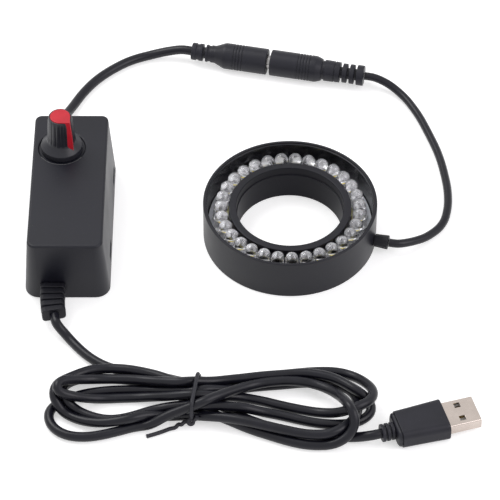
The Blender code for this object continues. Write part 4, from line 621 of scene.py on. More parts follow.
def filleted(profile, radius, steps=3):
    """Profile with its inner points rounded; a third number on a point is its own radius."""
    made = [tuple(profile[0][:2])]
    for before, here, after in zip(profile, profile[1:], profile[2:]):
        corner = Vector(here[:2])
        back, on = Vector(before[:2]) - corner, Vector(after[:2]) - corner
        reach = here[2] if len(here) > 2 else radius
        reach = min(reach, 0.48 * back.length, 0.48 * on.length)
        if reach < NO_LENGTH or back.angle(on) > math.radians(175):
            made.append(tuple(corner))
            continue
        start, end = corner + back.normalized() * reach, corner + on.normalized() * reach
        for step in range(steps + 1):
            share = step / steps
            made.append(tuple(start * (1 - share) ** 2 + corner * 2 * share * (1 - share) + end * share ** 2))
    made.append(tuple(profile[-1][:2]))
    return made


def lathe(name, profile, segments=64, place=Matrix.Identity(4)):
    """Turned solid; the profile runs down its outer side as (radius, height) and meets the axis or itself."""
    shape = bmesh.new()
    rings = []
    for radius, height in profile:
        turns = [2 * math.pi * i / segments for i in range(segments)] if radius > NO_LENGTH else [0.0]
        rings.append([shape.verts.new((radius * math.cos(a), radius * math.sin(a), height)) for a in turns])
    if len(rings[0]) > 1 and len(rings[-1]) > 1:
        rings.append(rings[0])
    for high, low in zip(rings, rings[1:]):
        for i in range(segments):
            j = (i + 1) % segments
            corners = [low[i % len(low)], low[j % len(low)], high[j % len(high)], high[i % len(high)]]
            corners = list(dict.fromkeys(corners))
            if len(corners) > 2:
                shape.faces.new(corners)
    bmesh.ops.transform(shape, matrix=place, verts=shape.verts)
    return new_object(name, shape)


def laid_along(spot, direction):
    """Matrix that lays a turned piece along a direction from a spot."""
    return Matrix.Translation(spot) @ direction.to_track_quat("Z", "Y").to_matrix().to_4x4()


def boolean(piece, tool, operation="DIFFERENCE"):
    """Exact cut or join; the tool goes."""
    step = piece.modifiers.new("boolean", "BOOLEAN")
    step.operation = operation
    step.solver = "EXACT"
    step.object = tool
    made = settled(piece)
    bpy.data.objects.remove(tool, do_unlink=True)
    return made


def finished(piece, finish, bevel=0.0, segments=2, smooth=38):
    """Round a piece's edges, smooth it, weight its normals and dress it."""
    if bevel:
        step = piece.modifiers.new("bevel", "BEVEL")
        step.width = bevel
        step.segments = segments
        step.limit_method = "ANGLE"
        step.angle_limit = math.radians(40)
        step.miter_outer = "MITER_ARC"
        piece = settled(piece)
    shape = bmesh.new()
    shape.from_mesh(piece.data)
    bmesh.ops.remove_doubles(shape, verts=shape.verts, dist=0.002 * MM)
    shape.to_mesh(piece.data)
    shape.free()
    piece.data.shade_smooth()
    piece.data.set_sharp_from_angle(angle=math.radians(smooth))
    step = piece.modifiers.new("normals", "WEIGHTED_NORMAL")
    step.keep_sharp = True
    piece = settled(piece)
    piece.data.materials.clear()
    piece.data.materials.append(finish)
    return piece


UP = Vector((0, 0, 1))
BOX_CENTRE = Vector((-50.3, 0, 0)) * MM
BOX_WIDTH, BOX_LENGTH, BOX_HEIGHT = 32.0 * MM, 70.6 * MM, 27.4 * MM
BOX_SIDE_DRAFT, BOX_END_DRAFT = 2.0 * MM, 0.3 * MM
BOX_BASE_CORNER, BOX_TOP_CORNER, BOX_REAR_CORNER = 5.5 * MM, 3.2 * MM, 2.6 * MM
BOX_WALL, BOX_EDGE, BOX_FOOT_EDGE, LEAST_CORNER = 2.0 * MM, 0.9 * MM, 0.25 * MM, 0.5 * MM
KNOB_AXIS = Vector((-53.4, 17.2, 0)) * MM
RECESS_RADIUS, RECESS_DEPTH, RECESS_EDGE = 8.75 * MM, 0.6 * MM, 0.6 * MM
BUSHING_HOLE = 4.6 * MM
SNAP_PLACES, SNAP_OUT = (24.5 * MM, -15.0 * MM), 14.8 * MM
SNAP_LENGTH, SNAP_BOTTOM, SNAP_HEIGHT, SNAP_DEPTH = 9.0 * MM, 3.2 * MM, 2.8 * MM, 4 * MM
GLAND_X, GLAND_AXIS = -55.4 * MM, 5.8 * MM
NOTCH_WIDTH, NOTCH_OVER_AXIS, NOTCH_DEPTH = 8.2 * MM, 2.5 * MM, 4 * MM


def box_section(height, inset=0.0):
    """Outline of the drafted box at a height, drawn in by an inset."""
    share = height / BOX_HEIGHT
    width = BOX_WIDTH - 2 * BOX_SIDE_DRAFT * share - 2 * inset
    length = BOX_LENGTH - 2 * BOX_END_DRAFT * share - 2 * inset
    corner = max(BOX_BASE_CORNER + (BOX_TOP_CORNER - BOX_BASE_CORNER) * share - inset, LEAST_CORNER)
    rear = max(BOX_REAR_CORNER - inset, LEAST_CORNER)
    return [Vector((x, y, height)) + BOX_CENTRE for x, y in outline(width, length, corner, rear=rear)]


def box_cover():
    """Hollow cover with its rounded roof edge, the knob's recess, four windows and two cord notches."""
    sections = [box_section(0, BOX_FOOT_EDGE), box_section(BOX_FOOT_EDGE)]
    sections += [box_section(height * MM) for height in (6, 12, 18, 23)]
    sections += [
        box_section(BOX_HEIGHT - BOX_EDGE * (1 - sine), BOX_EDGE * (1 - cosine))
        for sine, cosine in quarter_arc(5)
    ]
    hollow = loft("hollow", [
        [point - UP * MM for point in box_section(0, BOX_WALL)], box_section(BOX_HEIGHT - BOX_WALL, BOX_WALL),
    ])
    shell = boolean(loft("box_cover", sections), hollow)
    above, below = BOX_HEIGHT + MM, BOX_HEIGHT - BOX_WALL - MM
    edge = [
        (RECESS_RADIUS + RECESS_EDGE * (1 - sine), BOX_HEIGHT - RECESS_EDGE * (1 - cosine))
        for sine, cosine in quarter_arc(5)
    ]
    recess = lathe("recess", [
        (0, above), (RECESS_RADIUS + RECESS_EDGE, above), *edge,
        (BUSHING_HOLE, BOX_HEIGHT - RECESS_DEPTH), (BUSHING_HOLE, below), (0, below),
    ], 96, Matrix.Translation(KNOB_AXIS))
    shell = boolean(shell, recess)
    for side in (-1, 1):
        for along in SNAP_PLACES:
            centre = BOX_CENTRE + Vector((side * SNAP_OUT, along, SNAP_BOTTOM + SNAP_HEIGHT / 2))
            shell = boolean(shell, block("window", (SNAP_DEPTH, SNAP_LENGTH, SNAP_HEIGHT), centre))
        top = GLAND_AXIS + NOTCH_OVER_AXIS
        centre = Vector((GLAND_X, side * (BOX_LENGTH / 2 - MM), top / 2 - MM / 2))
        shell = boolean(shell, block("notch", (NOTCH_WIDTH, NOTCH_DEPTH, top + MM), centre))
    return shell


BOX_BLACK = plastic(
    "box_black_abs", (0.0068, 0.007, 0.0125), 0.42, grain=3200.0, mottle=45.0, dust=0.35, bump=0.14,
    specular=0.32,
)
# Painted highlight: a light grey that stands in for the light caught by the recess's front rounded edge.
PAINTED_EDGE_HIGHLIGHT = plastic(
    "recess_edge_painted_highlight", (0.12, 0.12, 0.123), 0.4, grain=3200.0, mottle=400.0, dust=0.0, bump=0.14,
)
cover = finished(box_cover(), BOX_BLACK, bevel=0.18 * MM)
cover.data.materials.append(PAINTED_EDGE_HIGHLIGHT)
# The painted highlight goes only on the front part of the recess's rounded edge.
for face in cover.data.polygons:
    spot = face.center - KNOB_AXIS
    reach, depth = Vector((spot.x, spot.y)).length, BOX_HEIGHT - spot.z
    on_edge = RECESS_RADIUS - 0.1 * MM < reach < RECESS_RADIUS + RECESS_EDGE
    if on_edge and 0.01 * MM < depth < RECESS_EDGE and spot.y < -0.55 * reach:
        face.material_index = 1
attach(cover, "controller")
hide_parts("box_top_shell")


def dress(name, finish):
    """Give a CAD node's object a finish."""
    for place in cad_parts[name].material_slots:
        place.material = finish


dress("box_base_cover", BOX_BLACK)


# Cord glands
# A soft black rubber boot at each end of the box, moulded round the cord: five ribs with four
# grooves between them, slightly tapered, bent a little the way the cord leaves.
GLAND_WIDTH, GLAND_HEIGHT, GLAND_LENGTH, GLAND_CORNER = 9.4 * MM, 6.2 * MM, 13.5 * MM, 1.5 * MM
GLAND_GROOVES, GLAND_GROOVE_DEPTH, GROOVE_SLOPE = 4, 0.75 * MM, 0.12 * MM
GLAND_TAPER, GLAND_ROOT, RIB_ROUND = 0.5 * MM, 2.0 * MM, 0.22 * MM
RUBBER_BLACK = plastic(
    "gland_black_rubber", (0.007, 0.007, 0.011), 0.5, grain=1800.0, mottle=150.0, dust=0.35, bump=0.12,
)


def boot_section(root, side, bend, along, shrink):
    """Section of a boot that bends more and more, at a distance along it."""
    share = along / GLAND_LENGTH
    turn = bend * share ** 2
    sideways = GLAND_LENGTH * math.tan(bend) * share ** 3 / 3
    centre = root + Vector((sideways, side * along, 0))
    across = Vector((math.sin(turn), side * math.cos(turn), 0)).cross(UP)
    corners = outline(GLAND_WIDTH - shrink, GLAND_HEIGHT - shrink, GLAND_CORNER - shrink / 4, 5)
    return [centre - across * x + UP * y for x, y in corners]


def gland(name, side, bend, cad_name):
    """Boot on the near (-1) or the far (1) end of the box, fitted and dressed."""
    wall = Vector((GLAND_X, side * (BOX_LENGTH / 2), GLAND_AXIS))
    groove = 0.5 * GLAND_LENGTH / (2 * GLAND_GROOVES + 1)
    rib = (GLAND_LENGTH - GLAND_GROOVES * groove) / (GLAND_GROOVES + 1)
    edge = ((0, 2 * RIB_ROUND), (0.3 * RIB_ROUND, 0.7 * RIB_ROUND), (RIB_ROUND, 0))
    marks, start = [], 0.0
    for i in range(GLAND_GROOVES + 1):
        marks += [(start + along, shrink) for along, shrink in edge]
        start += rib
        marks += [(start - along, shrink) for along, shrink in reversed(edge)]
        if i < GLAND_GROOVES:
            marks.append((start + GROOVE_SLOPE, 2 * GLAND_GROOVE_DEPTH))
            start += groove
            marks.append((start - GROOVE_SLOPE, 2 * GLAND_GROOVE_DEPTH))
    root = wall + Vector((0, side * 0.3 * MM, 0))
    sections = [
        boot_section(wall - Vector((0, side * GLAND_ROOT, 0)), side, 0, 0, GLAND_ROOT),
        boot_section(root, side, 0, 0, GLAND_ROOT),
    ]
    for along, shrink in marks:
        sections.append(boot_section(root, side, bend, along, shrink + GLAND_TAPER * along / GLAND_LENGTH))
    boot = finished(loft(name, sections), RUBBER_BLACK, smooth=60)
    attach(boot, "controller")
    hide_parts(cad_name)


gland("usb_gland_boot", -1, math.radians(13), "usb_cord_gland")
gland("dc_gland_boot", 1, math.radians(-6), "dc_cord_gland")


# Dimmer knob
# A push-on control knob in black plastic: a smooth skirt with a band at its foot, a fluted grip
# that tapers upward, and a bright red cap whose pointer runs down the grip to the skirt.
KNOB_BASE = KNOB_AXIS + UP * BOX_HEIGHT
KNOB_HEIGHT = 16.6 * MM
SKIRT_RADIUS, SKIRT_SINK, SKIRT_BAND, SKIRT_TOP = 7.8 * MM, 0.4 * MM, 2.1 * MM, 4.2 * MM
GRIP_RADIUS, GRIP_TOP_RADIUS, GRIP_HEIGHT = 5.4 * MM, 4.7 * MM, KNOB_HEIGHT - 0.3 * MM
FLUTES, FLUTE_DEPTH, FLUTE_STEPS = 18, 0.18 * MM, 10
CAP_RADIUS, CAP_THICKNESS = 3.8 * MM, 0.9 * MM
POINTER_ANGLE = math.radians(-45)
POINTER_BACK, POINTER_TOP_REACH, POINTER_FOOT_REACH = 2.6 * MM, 5.4 * MM, 6.75 * MM


def fluted_ring(radius, depth, height):
    """Round of the grip with its flutes at a height above the knob's foot."""
    points = []
    for i in range(FLUTES * FLUTE_STEPS):
        angle = 2 * math.pi * i / (FLUTES * FLUTE_STEPS)
        reach = radius - depth * ((1 - math.cos(FLUTES * angle)) / 2) ** 4
        points.append(KNOB_BASE + heading(angle) * reach + UP * height)
    return points


def knob_grip():
    """Skirt and grip, from rings that lie a little off a radius and a height: out, share of flute, up."""
    stages = (
        (SKIRT_RADIUS, -SKIRT_SINK, ((-0.2, 0, 0), (0, 0, 0.2))),
        (SKIRT_RADIUS, SKIRT_BAND, ((0, 0, -0.4), (-0.08, 0, -0.14), (-0.3, 0, 0.08), (-0.6, 0, 0.3))),
        (GRIP_RADIUS, SKIRT_TOP, (
            (0.9, 0, -0.7), (0.35, 0, -0.2), (0.02, 0.2, 0.3), (-0.08, 0.8, 0.8), (-0.16, 1, 1.4),
        )),
        (GRIP_TOP_RADIUS, GRIP_HEIGHT, (
            (0.05, 1, -2.2), (-0.12, 0.8, -1.1), (-0.28, 0.4, -0.3), (-0.45, 0.1, -0.05), (-0.6, 0, 0),
        )),
        (CAP_RADIUS, GRIP_HEIGHT, ((0.1, 0, 0), (0.05, 0, -0.5))),
    )
    return loft("knob_grip", [
        fluted_ring(radius + out * MM, share * FLUTE_DEPTH, height + rise * MM)
        for radius, height, rings in stages
        for out, share, rise in rings
    ])


KNOB_BLACK = plastic(
    "knob_black_plastic", (0.017, 0.017, 0.023), 0.36, grain=3000.0, mottle=120.0, dust=0.4, bump=0.08,
    specular=0.34,
)
KNOB_RED = plastic(
    "knob_red_plastic", (0.52, 0.014, 0.028), 0.36, grain=3000.0, mottle=120.0, dust=0.1, bump=0.06,
    specular=0.38,
)
KNOB_HOLLOW = in_mm([(0, 13), (3.25, 13), (3.25, 3.2), (5, 3.2), (6.7, 1.9), (6.7, -1), (0, -1)])
hollow = lathe("hollow", KNOB_HOLLOW, 48, Matrix.Translation(KNOB_BASE))
grip = finished(boolean(knob_grip(), hollow), KNOB_BLACK, smooth=32)
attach(grip, "knob")
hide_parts("knob_body")


def pointer_cap():
    """Round cap and the three-sided pointer that comes down from it, in one piece."""
    underside = KNOB_HEIGHT - CAP_THICKNESS
    profile = [(0, KNOB_HEIGHT), (CAP_RADIUS, KNOB_HEIGHT), (CAP_RADIUS, underside), (0, underside)]
    cap = lathe("knob_cap", filleted(profile, 0.3 * MM), 64, Matrix.Translation(KNOB_BASE))
    turn = Matrix.Translation(KNOB_BASE) @ Matrix.Rotation(POINTER_ANGLE, 4, "Z")
    foot = (POINTER_FOOT_REACH, SKIRT_BAND + 0.6 * MM)
    top = (POINTER_TOP_REACH, KNOB_HEIGHT - 0.02 * MM)
    corners = []
    for reach, height in (foot, top):
        half = reach - POINTER_BACK
        corners.append([
            turn @ Vector((along, across, height))
            for along, across in ((POINTER_BACK, -half), (reach, 0), (POINTER_BACK, half))
        ])
    return boolean(cap, loft("pointer", corners), "UNION")


cap = finished(pointer_cap(), KNOB_RED, bevel=0.22 * MM, segments=3)
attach(cap, "knob")
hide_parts("knob_pointer_cap")


# Ring housing
# One black moulded channel: outer wall with a stepped rim, floor, and a lower hub round the bore
# that fits over the microscope's objective. Satin outside, polished by the tool inside.
RING_CENTRE = Vector((33.3, -1.6, 0)) * MM
RING_RADIUS, RING_HEIGHT, RING_WALL = 33.0 * MM, 17.1 * MM, 1.6 * MM
CHANNEL_OUTER = RING_RADIUS - RING_WALL
RIM_STEP, RIM_DEPTH, RIM_SLOPE = 0.5 * MM, 0.55 * MM, 0.15 * MM
HUB_RADIUS, HUB_HEIGHT = 23.3 * MM, 14.7 * MM
BORE_RADIUS, LIP_RADIUS, LIP_DEPTH = 20.0 * MM, 20.4 * MM, 3.5 * MM
LEDGE_WIDTH, LEDGE_HEIGHT, RING_FLOOR = 0.8 * MM, 5.0 * MM, 2.0 * MM
RELIEF_HEIGHT, CORD_HOLE_RADIUS, CORD_HOLE_START, CORD_HOLE_LENGTH = 4.8 * MM, 2.2 * MM, 29.6 * MM, 4.4 * MM
RELIEF_START = 31.7 * MM
RELIEF_DIRECTION = heading(math.radians(-14.5))


def turned_back(profile):
    """Close a profile's loop so that its first corner is rounded as well."""
    middle = [(profile[0][k] + profile[-1][k]) / 2 for k in (0, 1)]
    return filleted([middle, *profile, middle], 0.12 * MM)[:-1]


def radial_place(radius):
    """Matrix that lays a turned piece along the cord's exit from the ring."""
    return laid_along(RING_CENTRE + RELIEF_DIRECTION * radius + UP * RELIEF_HEIGHT, RELIEF_DIRECTION)


def ring_channel():
    """Turned channel with its hub and ledges, and the hole that the cord goes through."""
    rim, lip = CHANNEL_OUTER + RIM_STEP, HUB_HEIGHT - LIP_DEPTH
    inner, outer = HUB_RADIUS + LEDGE_WIDTH, CHANNEL_OUTER - LEDGE_WIDTH
    profile = [
        (rim, RING_HEIGHT, 0.1 * MM), (RING_RADIUS, RING_HEIGHT, 0.3 * MM), (RING_RADIUS, 0, 0.35 * MM),
        (BORE_RADIUS, 0, 0.3 * MM), (BORE_RADIUS, lip), (LIP_RADIUS, lip), (LIP_RADIUS, HUB_HEIGHT, 0.4 * MM),
        (HUB_RADIUS, HUB_HEIGHT, 0.4 * MM), (HUB_RADIUS, LEDGE_HEIGHT), (inner, LEDGE_HEIGHT),
        (inner, RING_FLOOR), (outer, RING_FLOOR), (outer, LEDGE_HEIGHT), (CHANNEL_OUTER, LEDGE_HEIGHT),
        (CHANNEL_OUTER, RING_HEIGHT - RIM_DEPTH - RIM_SLOPE), (rim, RING_HEIGHT - RIM_DEPTH),
    ]
    channel = lathe("ring_channel", turned_back(profile), 192, Matrix.Translation(RING_CENTRE))
    cord_hole = [(0, CORD_HOLE_LENGTH), (CORD_HOLE_RADIUS, CORD_HOLE_LENGTH), (CORD_HOLE_RADIUS, 0), (0, 0)]
    return boolean(channel, lathe("hole", cord_hole, 32, radial_place(CORD_HOLE_START)))


RING_SATIN = plastic(
    "ring_satin_black", (0.006, 0.006, 0.0105), 0.4, grain=2600.0, mottle=60.0, dust=0.35, bump=0.1,
)
RING_POLISHED = plastic(
    "ring_polished_black", (0.005, 0.005, 0.007), 0.22, grain=900.0, mottle=60.0, dust=0.3, bump=0.03,
    specular=0.45,
)
RING_BORE = plastic(
    "ring_bore_black", (0.007, 0.007, 0.011), 0.5, grain=1200.0, mottle=60.0, dust=0.2, specular=0.16,
)
channel = finished(ring_channel(), RING_SATIN, smooth=50)
channel.data.materials.append(RING_POLISHED)
channel.data.materials.append(RING_BORE)
for face in channel.data.polygons:
    spot = face.center - RING_CENTRE
    reach = Vector((spot.x, spot.y)).length
    if Vector((spot.x, spot.y, 0)).normalized().dot(face.normal) < -0.5:
        if reach < HUB_RADIUS:
            face.material_index = 2
        elif spot.z > LEDGE_HEIGHT:
            face.material_index = 1
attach(channel, "head")
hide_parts("ring_housing")

RELIEF_BLACK = plastic(
    "relief_black_pvc", (0.007, 0.007, 0.011), 0.48, grain=1800.0, mottle=150.0, dust=0.3, bump=0.1,
)
RELIEF_PROFILE = in_mm([(0, 6.8), (2.8, 6.8, 0.3), (2.5, 1.6), (1.9, 1.6), (1.9, 0), (0, 0)])
relief = lathe("ring_cord_relief", filleted(RELIEF_PROFILE, 0.15 * MM), 12, radial_place(RELIEF_START))
relief = finished(relief, RELIEF_BLACK, smooth=25)
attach(relief, "head")
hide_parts("ring_strain_relief")


# LED board and LEDs
# An annular circuit board with white solder mask lies on the channel's ledges. Thirty-one clear
# 5 mm LEDs stand on it in a circle and lean in over the hub; each has its cup, posts, foot and phosphor.
LED_COUNT = 31
LED_RADIUS, LED_HEIGHT, LED_FLANGE, LED_FLANGE_HEIGHT = 2.5 * MM, 8.6 * MM, 2.6 * MM, 1.0 * MM
LED_CIRCLE, LED_LEAN = 27.1 * MM, math.radians(8)
LED_FOOT = 7.56 * MM
LED_FIRST = math.radians(3.9)
# the board's white, the width of the yellowish ring next to the hub, and that ring's yellow
MASK_WHITE, HUB_RING_WIDTH, HUB_RING_YELLOW = (0.8, 0.82, 0.88), 1.3 * MM, (0.72, 0.66, 0.34)


def board_finish():
    """White solder mask with a yellowish ring next to the hub."""
    made = plastic("board_white_mask", MASK_WHITE, 0.35, grain=500.0, mottle=300.0, dust=0.0, bump=0.1)
    tree = made.node_tree
    place = node(tree, "ShaderNodeTexCoord")
    flat = node(
        tree, "ShaderNodeVectorMath", (place, "Object"), (1, 1, 0), -RING_CENTRE, operation="MULTIPLY_ADD",
    )
    reach = node(tree, "ShaderNodeVectorMath", flat, operation="LENGTH")
    border = HUB_RADIUS + HUB_RING_WIDTH
    edge = node(tree, "ShaderNodeMapRange", (reach, "Value"), border, border + 0.1 * MM)
    tone = node(
        tree, "ShaderNodeMix", edge, (*HUB_RING_YELLOW, 1), (*MASK_WHITE, 1), data_type="RGBA",
    )
    skin = [piece for piece in tree.nodes if piece.type == "GROUP"][0]
    fill(tree, skin, Colour=tone)
    return made


dress("led_board", board_finish())


def circle_tree():
    """Tree that stands copies of a piece round a circle, all leaning to its middle."""
    tree, keys, entry, result = node_group(
        "circle_of_leds",
        "GeometryNodeTree",
        [
            ("Geometry", "NodeSocketGeometry", None),
            ("Count", "NodeSocketInt", LED_COUNT),
            ("Circle Radius", "NodeSocketFloat", LED_CIRCLE),
            ("First Angle", "NodeSocketFloat", LED_FIRST),
            ("Lean", "NodeSocketFloat", LED_LEAN),
            ("Centre", "NodeSocketVector", (0, 0, 0)),
            ("Material", "NodeSocketMaterial", None),
        ],
        [("Geometry", "NodeSocketGeometry")],
    )
    number = node(tree, "GeometryNodeInputIndex")
    turn = node(tree, "ShaderNodeMath", 2 * math.pi, (entry, "Count"), operation="DIVIDE")
    angle = node(tree, "ShaderNodeMath", number, turn, (entry, "First Angle"), operation="MULTIPLY_ADD")
    cosine, sine = (node(tree, "ShaderNodeMath", angle, operation=name) for name in ("COSINE", "SINE"))
    spot = node(tree, "ShaderNodeCombineXYZ", cosine, sine)
    reach = node(tree, "ShaderNodeVectorMath", spot, (entry, "Circle Radius"), operation="SCALE")
    moved = node(tree, "ShaderNodeVectorMath", reach, (entry, "Centre"), operation="ADD")
    points = node(tree, "GeometryNodePoints", Count=(entry, "Count"), Position=moved)
    back = node(tree, "ShaderNodeMath", (entry, "Lean"), -1.0, operation="MULTIPLY")
    tilt = node(tree, "ShaderNodeCombineXYZ", Y=back, Z=angle)
    copies = node(
        tree, "GeometryNodeInstanceOnPoints", Points=points, Instance=(entry, "Geometry"), Rotation=tilt,
    )
    real_piece(tree, entry, result, copies)
    return tree, keys


LED_CIRCLE_TREE = circle_tree()


def circle_of(piece, name, finish):
    """One piece for all the copies of an LED's part."""
    piece.data.shade_smooth()
    piece.data.set_sharp_from_angle(angle=math.radians(40))
    made = made_by(
        LED_CIRCLE_TREE, piece, name, Count=LED_COUNT, Circle_Radius=LED_CIRCLE, First_Angle=LED_FIRST,
        Lean=LED_LEAN, Centre=RING_CENTRE + UP * LED_FOOT, Material=finish,
    )
    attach(made, "head")
    return made


def glass(name, colour, roughness, ior):
    """Clear cast epoxy with faint ripples in its skin."""
    made, tree, shader = new_material(name)
    place = node(tree, "ShaderNodeTexCoord")
    ripple = node(tree, "ShaderNodeTexNoise", Vector=(place, "Object"), Scale=2200.0, Detail=3.0)
    haze = node(tree, "ShaderNodeMapRange", ripple, To_Min=roughness * 0.5, To_Max=roughness * 1.5)
    relief = node(tree, "ShaderNodeBump", Strength=0.4, Distance=0.1 * MM, Height=ripple)
    fill(tree, shader, Base_Color=(*colour, 1), Transmission_Weight=1.0, IOR=ior)
    fill(tree, shader, Roughness=haze, Normal=relief)
    return made


METAL_SCRATCH = 0.12


def metal(name, colour, roughness, tarnished=0.74):
    """Bright metal with fine grain and a little uneven tarnish."""
    made, tree, shader = new_material(name)
    place = (node(tree, "ShaderNodeTexCoord"), "Object")
    grain = node(tree, "ShaderNodeTexNoise", Vector=place, Scale=900.0, Detail=5.0)
    tarnish = node(tree, "ShaderNodeTexNoise", Vector=place, Scale=220.0, Detail=3.0)
    dull = (*[part * tarnished for part in colour], 1)
    tone = node(tree, "ShaderNodeMix", tarnish, dull, (*colour, 1), data_type="RGBA")
    rough = node(
        tree, "ShaderNodeMapRange", grain, To_Min=max(0.02, roughness - METAL_SCRATCH),
        To_Max=roughness + METAL_SCRATCH,
    )
    relief = node(tree, "ShaderNodeBump", Strength=0.05, Distance=0.02 * MM, Height=grain)
    fill(tree, shader, Metallic=1.0, Base_Color=tone, Roughness=rough, Normal=relief)
    return made


def silvered_foot():
    """Hammered, silver-plated foot of the leadframe, which throws the light back up the lens."""
    made = metal("silvered_foot", (0.97, 0.97, 1.0), 0.4, tarnished=0.95)
    tree = made.node_tree
    place = (node(tree, "ShaderNodeTexCoord"), "Object")
    dents = node(tree, "ShaderNodeTexNoise", Vector=place, Scale=3000.0, Detail=3.0, Roughness=0.7)
    relief = node(tree, "ShaderNodeBump", Strength=0.9, Distance=0.15 * MM, Height=dents)
    fill(tree, tree.nodes["Principled BSDF"], Normal=relief)
    return made


CLEAR_EPOXY = glass("clear_epoxy", (0.99, 0.992, 1.0), 0.03, 1.52)
LED_METAL = metal("silvered_leadframe", (0.78, 0.78, 0.8), 0.3, tarnished=0.85)
LED_PHOSPHOR = plastic("yellow_phosphor", (0.75, 0.62, 0.12), 0.6, grain=4000.0, dust=0.0, bump=0.2)
dome_foot = LED_HEIGHT - LED_RADIUS
lens_profile = [
    *[(LED_RADIUS * cosine, dome_foot + LED_RADIUS * sine) for sine, cosine in reversed(quarter_arc(10))],
    (LED_RADIUS, LED_FLANGE_HEIGHT + 0.15 * MM), (LED_RADIUS + 0.03 * MM, LED_FLANGE_HEIGHT + 0.03 * MM),
    (LED_FLANGE, LED_FLANGE_HEIGHT), (LED_FLANGE, 0), (0, 0),
]
lenses = circle_of(lathe("lens", lens_profile, 32), "led_lenses", CLEAR_EPOXY)
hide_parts(*[f"led_{i + 1:02d}" for i in range(LED_COUNT)])

CUP_PROFILE = in_mm([
    (0, 3.5), (0.45, 3.5), (0.85, 4.1), (1, 4.1), (1, 3), (0.6, 2.4), (0.4, 2.2), (0.4, 0.2), (0, 0.2),
])
# the cup's leg, the post beside it and the post's head, each as its size and its middle
POST_BLOCKS = in_mm([(0.5, 0.9, 2.6), (0.45, 0.7, 3.9), (0.8, 0.9, 0.5)])
POST_PLACES = in_mm([(0, 0, 1.5), (1.55, 0, 2.15), (1.35, 0, 4)])
FOOT_PROFILE = in_mm([(0, 0.3), (2.4, 0.3), (2.4, 0.1), (0, 0.1)])
PHOSPHOR_PROFILE = in_mm([(0, 3.95), (0.4, 3.9), (0.68, 3.8), (0.44, 3.52), (0, 3.52)])


def led_frame():
    """Cup on its post, and the thinner post beside it, as they stand in the epoxy."""
    cup = lathe("frame", CUP_PROFILE, 20)
    shape = bmesh.new()
    shape.from_mesh(cup.data)
    for size, centre in zip(POST_BLOCKS, POST_PLACES):
        add_block(shape, size, centre)
    shape.to_mesh(cup.data)
    shape.free()
    return cup


frames = circle_of(led_frame(), "led_frames", LED_METAL)
feet = circle_of(lathe("foot", FOOT_PROFILE, 32), "led_feet", silvered_foot())
phosphor = circle_of(lathe("dot", PHOSPHOR_PROFILE, 16), "led_phosphor", LED_PHOSPHOR)


# Inline connector
# A low-voltage barrel connector: a moulded PVC socket and plug with fine grip ribs, each with a
# stepped relief over its cord. A gap between them shows the plug's bright metal barrel.
CONNECTOR_FACE = Vector((25.1, 88.7, 5.25)) * MM
CONNECTOR_DIRECTION = heading(math.radians(-12))
PLUG_FACE = CONNECTOR_FACE + CONNECTOR_DIRECTION * 1.5 * MM
# the turned bodies, in millimetres from their faces
CONNECTOR_RADIUS, RIB_PITCH, RIB_DEPTH = 5.25, 1.2, 0.28
BARREL_BORE, PIN_BORE, CORD_NECK, BLOCK_RADIUS, BLOCK_GROOVE = 3.05, 1.25, 2.3, 3.5, 3.2
SOCKET_LENGTH, PLUG_LENGTH, BARREL_RADIUS, BARREL_OUT = 31, 38, 2.75, 9.5
OVERMOULD_BLACK = plastic(
    "overmould_black_pvc", (0.012, 0.012, 0.018), 0.44, grain=2000.0, mottle=110.0, dust=0.35, bump=0.1,
)


def ribs(start, count):
    """Fine grip ribs as points of a profile."""
    points = []
    for i in range(count):
        near = start + i * RIB_PITCH
        far = near + RIB_PITCH / 3
        points += [(CONNECTOR_RADIUS, near), (CONNECTOR_RADIUS - RIB_DEPTH, near)]
        points += [(CONNECTOR_RADIUS - RIB_DEPTH, far), (CONNECTOR_RADIUS, far)]
    return points


def block_groove(start, end):
    """Shallow groove round a block of the socket's relief."""
    return [
        (BLOCK_RADIUS, start), (BLOCK_GROOVE, start + 0.05), (BLOCK_GROOVE, end - 0.05), (BLOCK_RADIUS, end),
    ]


def moulded(name, profile, place):
    """Body turned from a profile in millimetres that runs from its face to its rear."""
    return lathe(name, filleted(in_mm(profile), 0.1 * MM, 2)[::-1], 72, place)


def socket_body():
    """Socket from its face to the end of its two-block relief."""
    profile = [(0, 14), (PIN_BORE, 14), (PIN_BORE, 11), (BARREL_BORE, 11), (BARREL_BORE, 0, 0.2)]
    profile += [(CONNECTOR_RADIUS, 0, 0.4), *ribs(9.6, 4), (CONNECTOR_RADIUS, 17.4, 0.6)]
    profile += [(BLOCK_RADIUS, 21.4, 0.4), *block_groove(23.0, 24.3), (BLOCK_RADIUS, 25.1)]
    profile += [(CORD_NECK, 25.1), (CORD_NECK, 26.4), (BLOCK_RADIUS, 26.4), *block_groove(27.9, 29.1)]
    profile += [(BLOCK_RADIUS, SOCKET_LENGTH, 0.4), (0, SOCKET_LENGTH)]
    return moulded("dc_socket_body", profile, laid_along(CONNECTOR_FACE, -CONNECTOR_DIRECTION))


def plug_body():
    """Plug from its face over its stepped neck to the three rings of its relief."""
    profile = [(0, 3), (BARREL_BORE, 3), (BARREL_BORE, 0, 0.15), (CONNECTOR_RADIUS, 0, 0.4), *ribs(11.2, 5)]
    profile += [(CONNECTOR_RADIUS, 18.6, 0.5), (4.4, 20.9), (3.8, 21), (3.8, 22), (4.3, 22.1), (4.2, 26)]
    profile += [(3.9, 26.05), (3.9, 26.35), (4.2, 26.4), (4.1, 28.35)]
    for start, end, radius in ((28.35, 31.25, 3.9), (31.25, 34.15, 3.95), (34.15, PLUG_LENGTH, 4.1)):
        ring = start + 1.05
        profile += [(CORD_NECK, start), (CORD_NECK, ring), (radius, ring, 0.25), (radius, end, 0.25)]
    profile.append((0, PLUG_LENGTH))
    return moulded("dc_plug_body", profile, laid_along(PLUG_FACE, CONNECTOR_DIRECTION))


